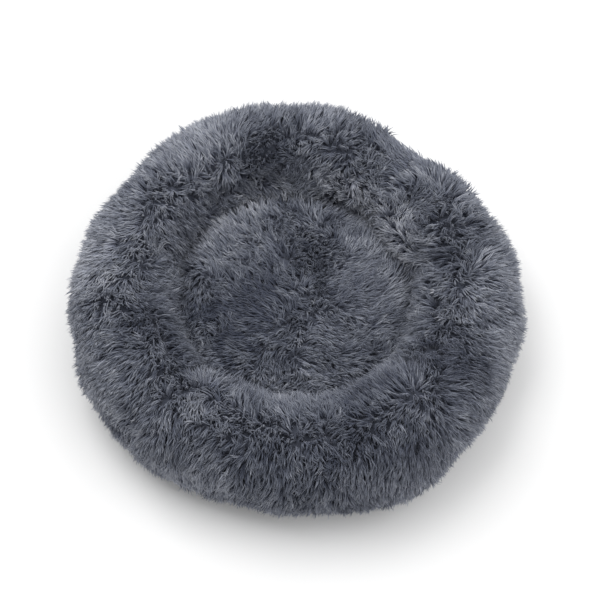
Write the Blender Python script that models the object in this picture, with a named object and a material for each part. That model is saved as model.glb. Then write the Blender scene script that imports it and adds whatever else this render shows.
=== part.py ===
"""Round plush pet bed: a stuffed bolster round a sunken centre pad, in a washable cover with a zip.

The frame has its origin on the floor under the middle of the bed, +Z up, +X to the right and -Y to the
front. Lengths are in metres and angles in degrees. A soft piece is the plain solid that it fills.
"""

import math

import bmesh
import bpy
from mathutils import Matrix

# The bed as a whole
OVERALL_DIAMETER = 0.600  # over the pile, where the bolster is widest
OVERALL_HEIGHT = 0.165  # from the floor to the top of the bolster's pile
TURNED_STEPS = 40  # flats round every turned piece, so that nested pieces stay parallel

# The bolster and its plush cover
BOLSTER_WIDTH = 0.145  # across the bolster's tube, over the pile
WIDEST_HEIGHT = 0.075  # of the bolster's widest line above the floor
TUBE_SQUARENESS = 2.5  # exponent of the tube's superellipse: 2 is an ellipse
PILE_DEPTH = 0.015  # of the combed pile with its backing
RIM_HEIGHT = 0.0035  # of the cover's lower edge above the floor
INNER_SEAM_HEIGHT = 0.060  # of the seam between the bolster's cover and the centre panel
CROSS_SEAM_ANGLE = 45.0  # of the seams between the two strips of the bolster's cover

# The centre panel and the pad under it
CENTRE_HEIGHT = 0.100  # of the centre panel's pile in the middle
CENTRE_EDGE_HEIGHT = 0.080  # of that pile at the panel's edge

# The two base panels
BASE_SHEET = 0.0012  # thickness of the non-slip cloth
ZIP_OPENING = 0.0130  # between the two panels' hems
HEM_LEDGE = 0.0060  # width of the raised hem that the zip tape is sewn to
HEM_RAMP = 0.0120  # width of the slope from that hem down to the floor

# The zip
COIL_WIDTH = 0.0028
COIL_HEIGHT = 0.0022
COIL_SPACING = 0.0014  # between the two coils
TAPE_SHEET = 0.0006
TAPE_WIDTH = 0.0148
TAPE_INSET = 0.0005  # from a coil's inner side to its tape's edge
STOP_LENGTH = 0.0025
STOP_SETBACK = 0.0120  # from the base's edge to the zip's stops
SLIDER_LENGTH = 0.0110
SLIDER_PLATE = 0.0010
SLIDER_FLANGE = 0.0008  # thickness of the flanges beside the coils
SLIDER_TAIL_TAPER = 0.0006  # narrower at the tail, on each side
SLIDER_POST = 0.0008  # thickness of the post between the coils
BRIDGE_LENGTH = 0.0064
BRIDGE_WIDTH = 0.0020
BRIDGE_BAR = 0.0008
PULL_SHEET = 0.0012
PULL_BAR = 0.0010  # the crossbar that turns in the bridge
PULL_ARM = 0.0016  # width of the arms beside the bridge
PULL_REACH = 0.0200  # from the hinge to the pull's tip
BRIDGE_FLOOR_GAP = 0.0008  # from the floor to the bridge

# The inserts
CASING_SHEET = 0.0010
STUFFING_SLIT_LENGTH = 0.080
STUFFING_SLIT_WIDTH = 0.003

# The care label
LABEL_ANGLE = 315.0
LABEL_LENGTH = 0.028
LABEL_WIDTH = 0.035
LABEL_SHEET = 0.0004
LABEL_HEIGHT = 0.0008  # of its lower face above the floor

# Clearances
CONTACT_GAP = 0.0003  # between pieces that touch
SEAM_GAP = 0.0005  # between two panels at their seam
SOFT_GAP = 0.0015  # between an insert and its cover
FILL_GAP = 0.0005  # between a casing and its fibre
SLIDING_GAP = 0.0004  # between the slider and what it runs on
SWING_GAP = 0.0004  # between the pull's crossbar and what it turns in
SWEEP_GAP = 0.0009  # between the bridge and the pull's tab as it swings
SLIDER_STOP_GAP = 0.0015  # between the slider and a stop at either end of its travel
INSERT_FLOOR_GAP = 0.0015  # between the slider and the inserts above it

# Sizes that follow from those
OUTER_RADIUS = OVERALL_DIAMETER / 2
HALF_WIDTH = BOLSTER_WIDTH / 2
TUBE_RADIUS = OUTER_RADIUS - HALF_WIDTH  # from the bed's axis to the tube's middle
CROWN_RISE = OVERALL_HEIGHT - WIDEST_HEIGHT
CENTRE_RADIUS = TUBE_RADIUS - HALF_WIDTH - SEAM_GAP

PULL_AXIS_Z = BRIDGE_FLOOR_GAP + BRIDGE_BAR + SWING_GAP + PULL_BAR / 2
PLATE_UNDERSIDE = PULL_AXIS_Z + PULL_SHEET / 2 + CONTACT_GAP
COIL_UNDERSIDE = PLATE_UNDERSIDE + SLIDER_PLATE + SLIDING_GAP
TAPE_UNDERSIDE = COIL_UNDERSIDE + COIL_HEIGHT + CONTACT_GAP
SLIDER_TOP = TAPE_UNDERSIDE + TAPE_SHEET + SLIDING_GAP + SLIDER_PLATE
INSERT_UNDERSIDE = SLIDER_TOP + INSERT_FLOOR_GAP
COIL_OUTER = COIL_SPACING / 2 + COIL_WIDTH


def clear_scene():
    for old in list(bpy.data.objects):
        bpy.data.objects.remove(old, do_unlink=True)


def material(name, colour, roughness, metallic=0.0):
    made = bpy.data.materials.new(name)
    made.use_nodes = True
    shader = made.node_tree.nodes["Principled BSDF"]
    shader.inputs["Base Color"].default_value = (*colour, 1.0)
    shader.inputs["Roughness"].default_value = roughness
    shader.inputs["Metallic"].default_value = metallic
    made.diffuse_color = (*colour, 1.0)
    return made


def add_object(name, mesh_data, finish):
    """Puts a finished bmesh into the scene as one object, shaded smooth but for its sharp edges."""
    bmesh.ops.recalc_face_normals(mesh_data, faces=mesh_data.faces)
    mesh = bpy.data.meshes.new(name)
    mesh_data.to_mesh(mesh)
    mesh_data.free()
    mesh.shade_smooth()
    mesh.set_sharp_from_angle(angle=math.radians(40))
    made = bpy.data.objects.new(name, mesh)
    bpy.context.scene.collection.objects.link(made)
    if finish is not None:
        mesh.materials.append(finish)
    return made


def add_empty(name, location):
    made = bpy.data.objects.new(name, None)
    made.location = location
    bpy.context.scene.collection.objects.link(made)
    return made


def as_cutter(shape):
    shape.hide_render = True
    shape.display_type = "WIRE"
    return shape


def boolean(target, other, operation="DIFFERENCE"):
    """Adds a Boolean with another object, which becomes a helper that isn't a piece."""
    cut = target.modifiers.new(operation.title(), "BOOLEAN")
    cut.operation = operation
    cut.object = as_cutter(other)


def soften(target, width):
    """Adds a one-step bevel along the sharp edges."""
    bevel = target.modifiers.new("Edges", "BEVEL")
    bevel.width = width
    bevel.segments = 1
    bevel.limit_method = "ANGLE"
    bevel.angle_limit = math.radians(50)


def turned_ring(name, outline, finish, start=0.0, sweep=360.0):
    """Turns a closed outline of (radius, height) points about Z, all round or through part of a turn."""
    made = bmesh.new()
    corners = [made.verts.new((radius, 0, height)) for radius, height in outline]
    face = made.faces.new(corners)
    geometry = [face, *face.edges, *corners]
    if sweep == 360.0:
        geometry = [*face.edges, *corners]
        made.faces.remove(face)
    bmesh.ops.rotate(made, verts=corners, matrix=Matrix.Rotation(math.radians(start), 3, "Z"))
    steps = round(TURNED_STEPS * sweep / 360)
    bmesh.ops.spin(made, geom=geometry, axis=(0, 0, 1), angle=math.radians(sweep), steps=steps)
    bmesh.ops.remove_doubles(made, verts=made.verts, dist=1e-6)
    return add_object(name, made, finish)


def turned_body(name, outline, finish):
    """Turns an open outline that starts and ends on the axis about Z, through a whole turn."""
    made = bmesh.new()
    corners = [made.verts.new((radius, 0, height)) for radius, height in outline]
    edges = [made.edges.new(pair) for pair in zip(corners, corners[1:])]
    bmesh.ops.spin(made, geom=[*corners, *edges], axis=(0, 0, 1), angle=math.tau, steps=TURNED_STEPS)
    bmesh.ops.remove_doubles(made, verts=made.verts, dist=1e-6)
    return add_object(name, made, finish)


def lofted(name, sections, finish):
    """Joins closed (y, z) outlines, each at its own x, into one capped body."""
    made = bmesh.new()
    rings = [[made.verts.new((x, y, z)) for y, z in outline] for x, outline in sections]
    for near, far in zip(rings, rings[1:]):
        for i, corner in enumerate(near):
            made.faces.new((corner, near[i - 1], far[i - 1], far[i]))
    made.faces.new(rings[0])
    made.faces.new(rings[-1])
    return add_object(name, made, finish)


def box(name, low, high, finish=None):
    return lofted(name, [(x, rectangle(low[1:], high[1:])) for x in (low[0], high[0])], finish)


def rectangle(low, high):
    return [(low[0], low[1]), (high[0], low[1]), (high[0], high[1]), (low[0], high[1])]


def ellipse(centre, half_width, half_height, count):
    """Points of an ellipse, with a flat, not a corner, at each side."""
    turns = [math.tau * (i + 0.5) / count for i in range(count)]
    return [(centre[0] + half_width * math.cos(t), centre[1] + half_height * math.sin(t)) for t in turns]


def tube_point(angle, half_width, rise, fall):
    """The (radius, height) at this angle round a superellipse that is centred on the tube's widest line.

    0 degrees faces out from the bed and 90 faces up. It rises by rise above the line and falls by fall.
    """
    across, up = math.cos(math.radians(angle)), math.sin(math.radians(angle))
    power = 2 / TUBE_SQUARENESS
    reach = rise if up > 0 else fall
    radius = TUBE_RADIUS + half_width * math.copysign(abs(across) ** power, across)
    return radius, WIDEST_HEIGHT + reach * math.copysign(abs(up) ** power, up)


def angle_below(height):
    """How far below the widest line, in degrees of tube_point, the cover comes down to this height."""
    share = (WIDEST_HEIGHT - height) / WIDEST_HEIGHT
    return math.degrees(math.asin(share ** (TUBE_SQUARENESS / 2)))


def spread(first, last, count):
    return [first + (last - first) * i / (count - 1) for i in range(count)]


def cover_radius_at_rim():
    """The radius of the cover's backing at its lower edge, where the base panels are sewn on."""
    return tube_point(-angle_below(RIM_HEIGHT), HALF_WIDTH - PILE_DEPTH, CROWN_RISE, WIDEST_HEIGHT)[0]


def bolster_cover(name, start, finish):
    """Half of the bolster's cover: an arch of plush over the tube, open underneath, half a turn long."""
    outer_side = spread(-angle_below(RIM_HEIGHT), 0.0, 4)
    inner_side = spread(180.0, 180 + angle_below(INNER_SEAM_HEIGHT), 3)
    angles = outer_side[:-1] + spread(0.0, 180.0, 11) + inner_side[1:]
    pile = [tube_point(a, HALF_WIDTH, CROWN_RISE, WIDEST_HEIGHT) for a in angles]
    backing_rise = CROWN_RISE - PILE_DEPTH
    backing = [tube_point(a, HALF_WIDTH - PILE_DEPTH, backing_rise, WIDEST_HEIGHT) for a in angles]
    seam_turn = math.degrees(SEAM_GAP / 2 / (TUBE_RADIUS - HALF_WIDTH))
    return turned_ring(name, pile + backing[::-1], finish, start + seam_turn, 180 - 2 * seam_turn)


def crown(radius, edge_radius, middle, edge, count=6):
    """Points of a low dome from the axis out to its edge."""
    shares = spread(0.0, 1.0, count)
    return [(radius * s, edge + (middle - edge) * (1 - (radius * s / edge_radius) ** 2)) for s in shares]


def centre_panel(finish):
    """The plush disc over the pad, domed in the middle."""
    top = crown(CENTRE_RADIUS, CENTRE_RADIUS, CENTRE_HEIGHT, CENTRE_EDGE_HEIGHT)
    under = [(radius, height - PILE_DEPTH) for radius, height in top]
    return turned_body("centre_fur_panel", under + top[::-1], finish)


def base_panel(name, side, base_radius, finish):
    """A D-shaped half of the base, flat on the floor and raised along the zip. side is -1 or 1."""
    hem_top = TAPE_UNDERSIDE - CONTACT_GAP
    inner = ZIP_OPENING / 2
    ledge = inner + HEM_LEDGE
    foot = ledge + HEM_RAMP
    under = [(inner, hem_top - BASE_SHEET), (ledge, hem_top - BASE_SHEET), (foot, 0.0), (base_radius, 0.0)]
    over = [(y, z + BASE_SHEET) for y, z in under]
    outline = [(side * y, z) for y, z in under + over[::-1]]
    panel = lofted(name, [(-base_radius, outline), (base_radius, outline)], finish)
    disc = turned_body(
        name + "_outline",
        [(0, -hem_top), (base_radius, -hem_top), (base_radius, 2 * hem_top), (0, 2 * hem_top)],
        None,
    )
    boolean(panel, disc, "INTERSECT")
    return panel


def zip_tape(name, side, reach, finish):
    inner = COIL_SPACING / 2 + TAPE_INSET
    low, high = sorted((side * inner, side * (inner + TAPE_WIDTH)))
    return box(name, (-reach, low, TAPE_UNDERSIDE), (reach, high, TAPE_UNDERSIDE + TAPE_SHEET), finish)


def zip_coil(name, side, reach, finish):
    """The outer shape of one coil, a rod with an oval section."""
    centre = (side * (COIL_SPACING + COIL_WIDTH) / 2, COIL_UNDERSIDE + COIL_HEIGHT / 2)
    section = ellipse(centre, COIL_WIDTH / 2, COIL_HEIGHT / 2, 8)
    return lofted(name, [(-reach, section), (reach, section)], finish)


def zip_stop(name, near, y_low, y_high, finish):
    """A crimped stop across the coils' path, just past their end at near."""
    far = near + math.copysign(STOP_LENGTH, near)
    x_low, x_high = sorted((near, far))
    low = (x_low, y_low, COIL_UNDERSIDE)
    high = (x_high, y_high, COIL_UNDERSIDE + COIL_HEIGHT)
    stop = box(name, low, high, finish)
    soften(stop, STOP_LENGTH / 8)
    return stop


def slider_section(narrowing):
    """The slider's (y, z) outline: two plates joined by the post, with flanges beside the coils."""
    half = COIL_OUTER + SLIDING_GAP + SLIDER_FLANGE - narrowing
    post = SLIDER_POST / 2
    plate_top = PLATE_UNDERSIDE + SLIDER_PLATE
    flange_top = TAPE_UNDERSIDE - SLIDING_GAP
    upper = SLIDER_TOP - SLIDER_PLATE
    right = [
        (half, PLATE_UNDERSIDE),
        (half, flange_top),
        (half - SLIDER_FLANGE + narrowing, flange_top),
        (half - SLIDER_FLANGE + narrowing, plate_top),
        (post, plate_top),
        (post, upper),
        (half, upper),
        (half, SLIDER_TOP),
    ]
    return right + [(-y, z) for y, z in right[::-1]]


def zip_slider(finish):
    """The slider, with the bridge under it that holds the pull. Its mesh is centred on its own x."""
    half_length = SLIDER_LENGTH / 2
    shoulder = half_length - SLIDER_LENGTH / 3
    sections = [
        (-half_length, slider_section(SLIDER_TAIL_TAPER)),
        (-half_length / 3, slider_section(SLIDER_TAIL_TAPER)),
        (shoulder, slider_section(0.0)),
        (half_length, slider_section(0.0)),
    ]
    slider = lofted("zip_slider", sections, finish)
    half_bridge = BRIDGE_LENGTH / 2
    joined = PLATE_UNDERSIDE + SLIDER_PLATE / 2
    low = (-half_bridge, -BRIDGE_WIDTH / 2, BRIDGE_FLOOR_GAP)
    bridge = box("bridge", low, (half_bridge, BRIDGE_WIDTH / 2, joined))
    inside = half_bridge - BRIDGE_BAR
    window_low = (-inside, -BRIDGE_WIDTH, BRIDGE_FLOOR_GAP + BRIDGE_BAR)
    window = box("bridge_window", window_low, (inside, BRIDGE_WIDTH, PLATE_UNDERSIDE))
    boolean(bridge, window)
    boolean(slider, bridge, "UNION")
    return slider


def zip_pull(finish):
    """The pull tab, with its origin on the hinge, lying towards the slider's tail."""
    half_width = BRIDGE_WIDTH / 2 + SWEEP_GAP / 2 + PULL_ARM
    half_sheet = PULL_SHEET / 2
    bar = PULL_BAR / 2
    corner = half_width / 2
    reach_x = [-PULL_REACH, -PULL_REACH + corner / 3, -PULL_REACH + corner, bar]
    widths = [half_width - corner, half_width - corner / 3, half_width, half_width]
    sections = [(x, rectangle((-w, -half_sheet), (w, half_sheet))) for x, w in zip(reach_x, widths)]
    pull = lofted("zip_pull", sections, finish)
    sweep = math.hypot(BRIDGE_LENGTH / 2, PULL_AXIS_Z - BRIDGE_FLOOR_GAP) + SWEEP_GAP
    opening = half_width - PULL_ARM
    window = box("pull_window", (-sweep, -opening, -PULL_SHEET), (-bar, opening, PULL_SHEET))
    window.parent = pull
    boolean(pull, window)
    return pull


def insert_tube(shrink):
    """The ring insert's closed section, smaller all round by shrink."""
    rise = CROWN_RISE - PILE_DEPTH - SOFT_GAP - shrink
    fall = WIDEST_HEIGHT - INSERT_UNDERSIDE - shrink
    half_width = HALF_WIDTH - PILE_DEPTH - SOFT_GAP - shrink
    angles = spread(0.0, 360.0, 17)[:-1]
    return [tube_point(a, half_width, rise, fall) for a in angles]


def insert_pad(shrink):
    """The pad insert's section from the axis and back to it, smaller all round by shrink."""
    under_panel = PILE_DEPTH + SOFT_GAP + shrink
    radius = CENTRE_RADIUS - SOFT_GAP - shrink
    top = crown(radius, CENTRE_RADIUS, CENTRE_HEIGHT - under_panel, CENTRE_EDGE_HEIGHT - under_panel, 5)
    bottom = INSERT_UNDERSIDE + shrink
    inner = radius - PILE_DEPTH
    return [(0.0, bottom), (inner, bottom), (radius, bottom + PILE_DEPTH), *top[::-1]]


def stuffing_slit(name, y):
    """The cutter for the slit that a casing is filled through, in its side at this y."""
    half_length, half_width = STUFFING_SLIT_LENGTH / 2, STUFFING_SLIT_WIDTH / 2
    middle = (INSERT_UNDERSIDE + CENTRE_EDGE_HEIGHT - PILE_DEPTH) / 2 + PILE_DEPTH / 2
    low = (-half_length, y - PILE_DEPTH / 2, middle - half_width)
    return box(name, low, (half_length, y + PILE_DEPTH / 2, middle + half_width))


def ring_insert(casing_finish, fill_finish):
    casing = turned_ring("ring_insert_casing", insert_tube(0.0), casing_finish)
    boolean(casing, turned_ring("ring_casing_inside", insert_tube(CASING_SHEET), None))
    inner_side = TUBE_RADIUS - (HALF_WIDTH - PILE_DEPTH - SOFT_GAP)
    boolean(casing, stuffing_slit("ring_slit", inner_side))
    turned_ring("ring_insert_fill", insert_tube(CASING_SHEET + FILL_GAP), fill_finish)


def pad_insert(casing_finish, fill_finish):
    casing = turned_body("pad_insert_casing", insert_pad(0.0), casing_finish)
    boolean(casing, turned_body("pad_casing_inside", insert_pad(CASING_SHEET), None))
    boolean(casing, stuffing_slit("pad_slit", SOFT_GAP - CENTRE_RADIUS))
    turned_body("pad_insert_fill", insert_pad(CASING_SHEET + FILL_GAP), fill_finish)


def care_label(base_radius, finish):
    """A blank ribbon label, sewn into the base seam and lying under the bolster."""
    label = box("care_label", (0, -LABEL_WIDTH / 2, 0), (LABEL_LENGTH, LABEL_WIDTH / 2, LABEL_SHEET), finish)
    turn = math.radians(LABEL_ANGLE)
    from_axis = base_radius + SEAM_GAP
    label.location = (from_axis * math.cos(turn), from_axis * math.sin(turn), LABEL_HEIGHT)
    label.rotation_euler.z = turn
    return label


def build():
    clear_scene()
    plush = material("blue_grey_plush", (0.090, 0.096, 0.120), 0.90)
    base_cloth = material("non_slip_cloth", (0.030, 0.032, 0.038), 0.75)
    casing_cloth = material("non_woven_casing", (0.780, 0.780, 0.760), 0.85)
    fibre = material("polyester_fibre", (0.850, 0.850, 0.840), 0.95)
    tape_cloth = material("zip_tape", (0.060, 0.064, 0.078), 0.80)
    nylon = material("zip_nylon", (0.050, 0.053, 0.065), 0.40)
    zinc = material("zip_metal", (0.420, 0.430, 0.450), 0.35, 1.0)
    label_cloth = material("label_ribbon", (0.800, 0.800, 0.790), 0.60)

    bolster_cover("bolster_fur_back_left", CROSS_SEAM_ANGLE, plush)
    bolster_cover("bolster_fur_front_right", CROSS_SEAM_ANGLE + 180, plush)
    centre_panel(plush)

    base_radius = cover_radius_at_rim() - SEAM_GAP
    edge_reach = base_radius * math.cos(math.pi / TURNED_STEPS) - SOFT_GAP
    coil_reach = base_radius - STOP_SETBACK
    stop_near = coil_reach + CONTACT_GAP
    zip_line = add_empty("zip_line", (0, 0, 0))
    for word, side in (("front", -1), ("rear", 1)):
        base_panel(f"base_panel_{word}", side, base_radius, base_cloth)
        inner, outer = side * COIL_SPACING / 2, side * COIL_OUTER
        pieces = [
            zip_tape(f"zip_tape_{word}", side, edge_reach, tape_cloth),
            zip_coil(f"zip_coil_{word}", side, coil_reach, nylon),
            zip_stop(f"zip_top_stop_{word}", stop_near, *sorted((inner, outer)), zinc),
        ]
        for piece in pieces:
            piece.parent = zip_line
    zip_stop("zip_bottom_stop", -stop_near, -COIL_OUTER, COIL_OUTER, zinc).parent = zip_line

    slider = zip_slider(zinc)
    slider.parent = zip_line
    slider.location.x = stop_near - SLIDER_STOP_GAP - SLIDER_LENGTH / 2
    for part in (bpy.data.objects["bridge"], bpy.data.objects["bridge_window"]):
        part.parent = slider
    pull = zip_pull(zinc)
    pull.parent = slider
    pull.location.z = PULL_AXIS_Z

    ring_insert(casing_cloth, fibre)
    pad_insert(casing_cloth, fibre)
    care_label(base_radius, label_cloth)
    bpy.context.view_layer.update()


build()
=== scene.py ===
"""Looks of the round plush pet bed: pile, cover, inserts, base, zip and label, round the fixed CAD frame.

Lengths are in metres and angles in degrees. A piece's "turn" is the angle round the bed, anticlockwise
from +X as seen from above. "Over" is the angle round the bolster's tube: 0 faces out from the bed, 90
faces up and 180 faces the middle. A sheet of points is an array of rows by columns by three.
"""

import math

import bpy
import numpy as np
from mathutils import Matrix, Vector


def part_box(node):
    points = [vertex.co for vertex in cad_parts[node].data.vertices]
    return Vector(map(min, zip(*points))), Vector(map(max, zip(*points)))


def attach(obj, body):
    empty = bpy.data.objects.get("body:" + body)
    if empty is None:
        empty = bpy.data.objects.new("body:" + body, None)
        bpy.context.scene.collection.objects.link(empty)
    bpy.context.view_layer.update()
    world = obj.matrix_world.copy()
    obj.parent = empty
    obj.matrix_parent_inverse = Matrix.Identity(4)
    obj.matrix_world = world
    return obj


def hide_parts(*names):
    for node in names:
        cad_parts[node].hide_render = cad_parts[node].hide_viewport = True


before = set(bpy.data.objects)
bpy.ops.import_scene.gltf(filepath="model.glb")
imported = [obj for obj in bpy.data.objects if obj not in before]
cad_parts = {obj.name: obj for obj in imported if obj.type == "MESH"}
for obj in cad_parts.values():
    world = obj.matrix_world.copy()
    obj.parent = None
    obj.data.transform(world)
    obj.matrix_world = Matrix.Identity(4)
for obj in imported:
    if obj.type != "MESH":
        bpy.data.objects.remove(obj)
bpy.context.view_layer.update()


# ---------------------------------------------------------------- sizes from the frame

def box_of(*nodes):
    """The lowest and highest corners of these CAD nodes together."""
    corners = np.array([[list(corner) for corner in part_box(node)] for node in nodes])
    return corners[:, 0].min(axis=0), corners[:, 1].max(axis=0)


COVERS = ("bolster_fur_front_right", "bolster_fur_back_left")
COVER_LOW, COVER_HIGH = box_of(*COVERS)
CENTRE_HIGH = box_of("centre_fur_panel")[1]
INSERT_LOW = box_of("ring_insert_casing")[0]
PAD_LOW, PAD_HIGH = box_of("pad_insert_casing")
PANEL_LOW, PANEL_HIGH = box_of("base_panel_rear")
LABEL_LOW, LABEL_HIGH = box_of("care_label")

OUTER_RADIUS = COVER_HIGH[0]
TOP_HEIGHT = COVER_HIGH[2]
RIM_HEIGHT = COVER_LOW[2]
CENTRE_RADIUS = CENTRE_HIGH[0]
BASE_RADIUS = PANEL_HIGH[0]
BOLSTER_WIDTH = 0.145  # across the tube, over the pile
WIDEST_HEIGHT = 0.075  # of the tube's widest line
SQUARENESS = 2.3  # exponent of the tube's superellipse
INNER_SEAM_HEIGHT = 0.060  # where the bolster's cover is sewn to the centre panel
CROSS_SEAMS = (45.0, 225.0)  # turns of the seams between the cover's two strips
BACKING_DEPTH = 0.0135  # from the CAD pile's surface down to the plush's backing
CREST_DEPTH = 0.0190  # the same at the crest, where the pile stands up
BACKING_SHEET = 0.0012
UNDERSIDE_HEIGHT = 0.0105  # of the stuffed bolster's underside
CENTRE_EDGE_DROP = 0.020  # from the centre panel's middle down to its edge
CENTRE_INSET = 0.0015  # from the CAD panel's edge in to the backing's
TUBE_RADIUS = OUTER_RADIUS - BOLSTER_WIDTH / 2
LABEL_TURN = math.degrees(math.atan2(*(LABEL_LOW + LABEL_HIGH)[1::-1]))
LABEL_WIDTH, LABEL_LENGTH = 0.0350, 0.0270
COVER_FLAT = (0.30, 0.80)  # of one strip of the bolster's cover, before its seams are gathered


# ---------------------------------------------------------------- how the bed is stuffed

# Fullness of the outline: (turn, spread of the turn, how far it stands out)
OUTLINE = (
    (58, 16, -0.0150),
    (27, 13, -0.0130),
    (150, 18, -0.0095),
    (204, 10, 0.003),
    (297, 17, 0.0100),
    (16, 8, 0.002),
    (262, 26, -0.0100),
    (43, 9, -0.0080),
)
# Fullness of the well's wall: (turn, spread of the turn, how far it stands into the well)
WALL = (
    (125, 52, -0.0090),
    (265, 50, -0.0030),
    (333, 13, 0.0095),
)
# Creases across the tube: (turn, spread of the turn, over, spread of over, depth)
CREASES = (
    (47, 8, 100, 46, 0.0090),
    (227, 6, 115, 60, 0.0110),
    (128, 6.5, 140, 34, 0.0085),
    (168, 6, 135, 32, 0.0085),
    (8, 6, 135, 36, 0.0080),
    (262, 7, 140, 30, 0.0055),
    (318, 7, 130, 34, 0.0060),
    (88, 7, 130, 30, 0.0050),
    (195, 6, 40, 30, 0.0045),
    (340, 7, 40, 36, 0.0050),
    (122, 46, 158, 9, 0.0120),
)

BOLSTER_GATHERS, CENTRE_GATHERS = 46, 38  # round each seam
WALL_WANDER = 0.0065  # how far the well's wall strays at random
SEAM_MARGIN = 0.004  # above a seam, where the outline starts to move
DRIFT_REACH, DRIFT_BELOW, DRIFT_ABOVE = 0.36, 0.04, 0.24  # the box that the random lattices cover

RING_COLUMNS = 264  # round the bed
ARCH_ROWS = 64  # over the cover's arch, and below, under the bolster
UNDER_ROWS = 12
PAD_CELLS = 72  # along each side of the centre's grid
ARCH_SECTION = (0.059, 0.0765)  # half width and rise of the arch that the rows are spaced along
ROW_STEP = 0.0047  # of cloth between two rows of the arch


def radians(angle):
    """Angles in degrees as an array in radians."""
    return np.radians(np.asarray(angle, float))


def nearest_turn(turn, middle):
    """The signed angle from middle to turn, within half a turn."""
    return (np.asarray(turn) - middle + 180.0) % 360.0 - 180.0


def hump(distance, spread):
    """A bell curve: 1 at no distance and 0.37 at the spread."""
    return np.exp(-((distance / spread) ** 2))


def around(radius, turn, height):
    """Points at this radius, turn and height, as an array with x, y and z last."""
    angle = radians(turn)
    parts = np.broadcast_arrays(radius * np.cos(angle), radius * np.sin(angle), height)
    return np.stack(parts, axis=-1)


def unit(vectors):
    """Vectors divided by their lengths."""
    return vectors / np.maximum(np.linalg.norm(vectors, axis=-1, keepdims=True), 1e-12)


def drift(points, cell, seed, channels=3):
    """Smooth random numbers of about -1 to 1 in space: a seeded lattice of this cell, blended between nodes.

    The lattice always covers the same box round the bed, so that a place gets the same number from any sheet.
    """
    low = np.array((-DRIFT_REACH, -DRIFT_REACH, -DRIFT_BELOW))
    high = np.array((DRIFT_REACH, DRIFT_REACH, DRIFT_ABOVE))
    size = np.ceil((high - low) / cell).astype(int) + 2
    lattice = np.random.default_rng(seed).uniform(-1.0, 1.0, (*size, channels)) * 1.7
    place = (points - low) / cell
    corner = np.floor(place).astype(int)
    share = place - corner
    share = share * share * (3.0 - 2.0 * share)
    total = 0.0
    for step in np.ndindex(2, 2, 2):
        weight = np.prod(np.where(step, share, 1.0 - share), axis=-1)
        at = corner + step
        total = total + weight[..., None] * lattice[at[..., 0], at[..., 1], at[..., 2]]
    return total


def slopes(sheet, closed_columns):
    """The vectors along a sheet's rows and up its columns, by differences between neighbouring points."""
    if closed_columns:
        along = (np.roll(sheet, -1, axis=1) - np.roll(sheet, 1, axis=1)) / 2
    else:
        along = np.gradient(sheet, axis=1)
    return along, np.gradient(sheet, axis=0)


def normals_of(sheet, closed_columns=True):
    """A sheet's normals: the slope along its rows, crossed with the slope up them."""
    along, up = slopes(sheet, closed_columns)
    return unit(np.cross(along, up))


# ---------------------------------------------------------------- meshes

def sheet_faces(rows, columns, closed_rows=False, closed_columns=False):
    """The quads of a grid of points, wound so that a face looks along (columns' way) x (rows' way)."""
    row = np.arange(rows if closed_rows else rows - 1)[:, None]
    column = np.arange(columns if closed_columns else columns - 1)[None, :]
    next_row, next_column = (row + 1) % rows, (column + 1) % columns
    corners = [
        row * columns + column,
        row * columns + next_column,
        next_row * columns + next_column,
        next_row * columns + column,
    ]
    return np.stack(np.broadcast_arrays(*corners), axis=-1).reshape(-1, 4)


def capped_tube_faces(rings, sides):
    """The triangles of a tube of rings of points, closed by a fan at each end."""
    quads = sheet_faces(rings, sides, closed_columns=True)
    last = (rings - 1) * sides
    between = range(1, sides - 1)
    caps = [(0, i + 1, i) for i in between] + [(last, last + i, last + i + 1) for i in between]
    return np.concatenate([quads[:, [0, 1, 2]], quads[:, [0, 2, 3]], caps])


def mesh_of(name, points, faces, face_maps=None):
    """A mesh from arrays. faces is faces by corners, and face_maps gives UV points in the same order."""
    mesh = bpy.data.meshes.new(name)
    faces = np.ascontiguousarray(faces, np.int32)
    sides = faces.shape[1]
    mesh.vertices.add(len(points))
    mesh.vertices.foreach_set("co", np.asarray(points, np.float32).ravel())
    mesh.loops.add(faces.size)
    mesh.loops.foreach_set("vertex_index", faces.ravel())
    mesh.polygons.add(len(faces))
    mesh.polygons.foreach_set("loop_start", np.arange(0, faces.size, sides, dtype=np.int32))
    mesh.polygons.foreach_set("use_smooth", np.ones(len(faces), bool))
    mesh.update(calc_edges=True)
    for map_name, corners in (face_maps or {}).items():
        layer = mesh.uv_layers.new(name=map_name)
        layer.data.foreach_set("uv", np.asarray(corners, np.float32).ravel())
    return mesh


def add_piece(name, mesh, finish, nodes=(), body="bed"):
    """Puts a finished mesh into the scene as a piece that rides on a body and stands for these nodes."""
    made = bpy.data.objects.new(name, mesh)
    bpy.context.scene.collection.objects.link(made)
    mesh.materials.append(finish)
    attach(made, body)
    if nodes:
        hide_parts(*nodes)
    return made


def thicken(piece, sheet):
    """Gives a sheet its thickness, inwards from its outer face."""
    solid = piece.modifiers.new("sheet", "SOLIDIFY")
    solid.thickness = sheet
    solid.offset = -1.0
    solid.use_even_offset = False
    return piece


def grid_map(rows, columns, width, length, closed_columns=False):
    """UV corners for sheet_faces, in metres across and along, so that a weave follows the cloth."""
    across = np.linspace(0.0, width, rows)
    along = np.linspace(0.0, length, columns + 1 if closed_columns else columns)
    u, v = np.meshgrid(along, across)
    count = u.shape[1]
    faces = sheet_faces(rows, count)
    return np.stack([u.ravel()[faces], v.ravel()[faces]], axis=-1)


# ---------------------------------------------------------------- the stuffed shapes

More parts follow.
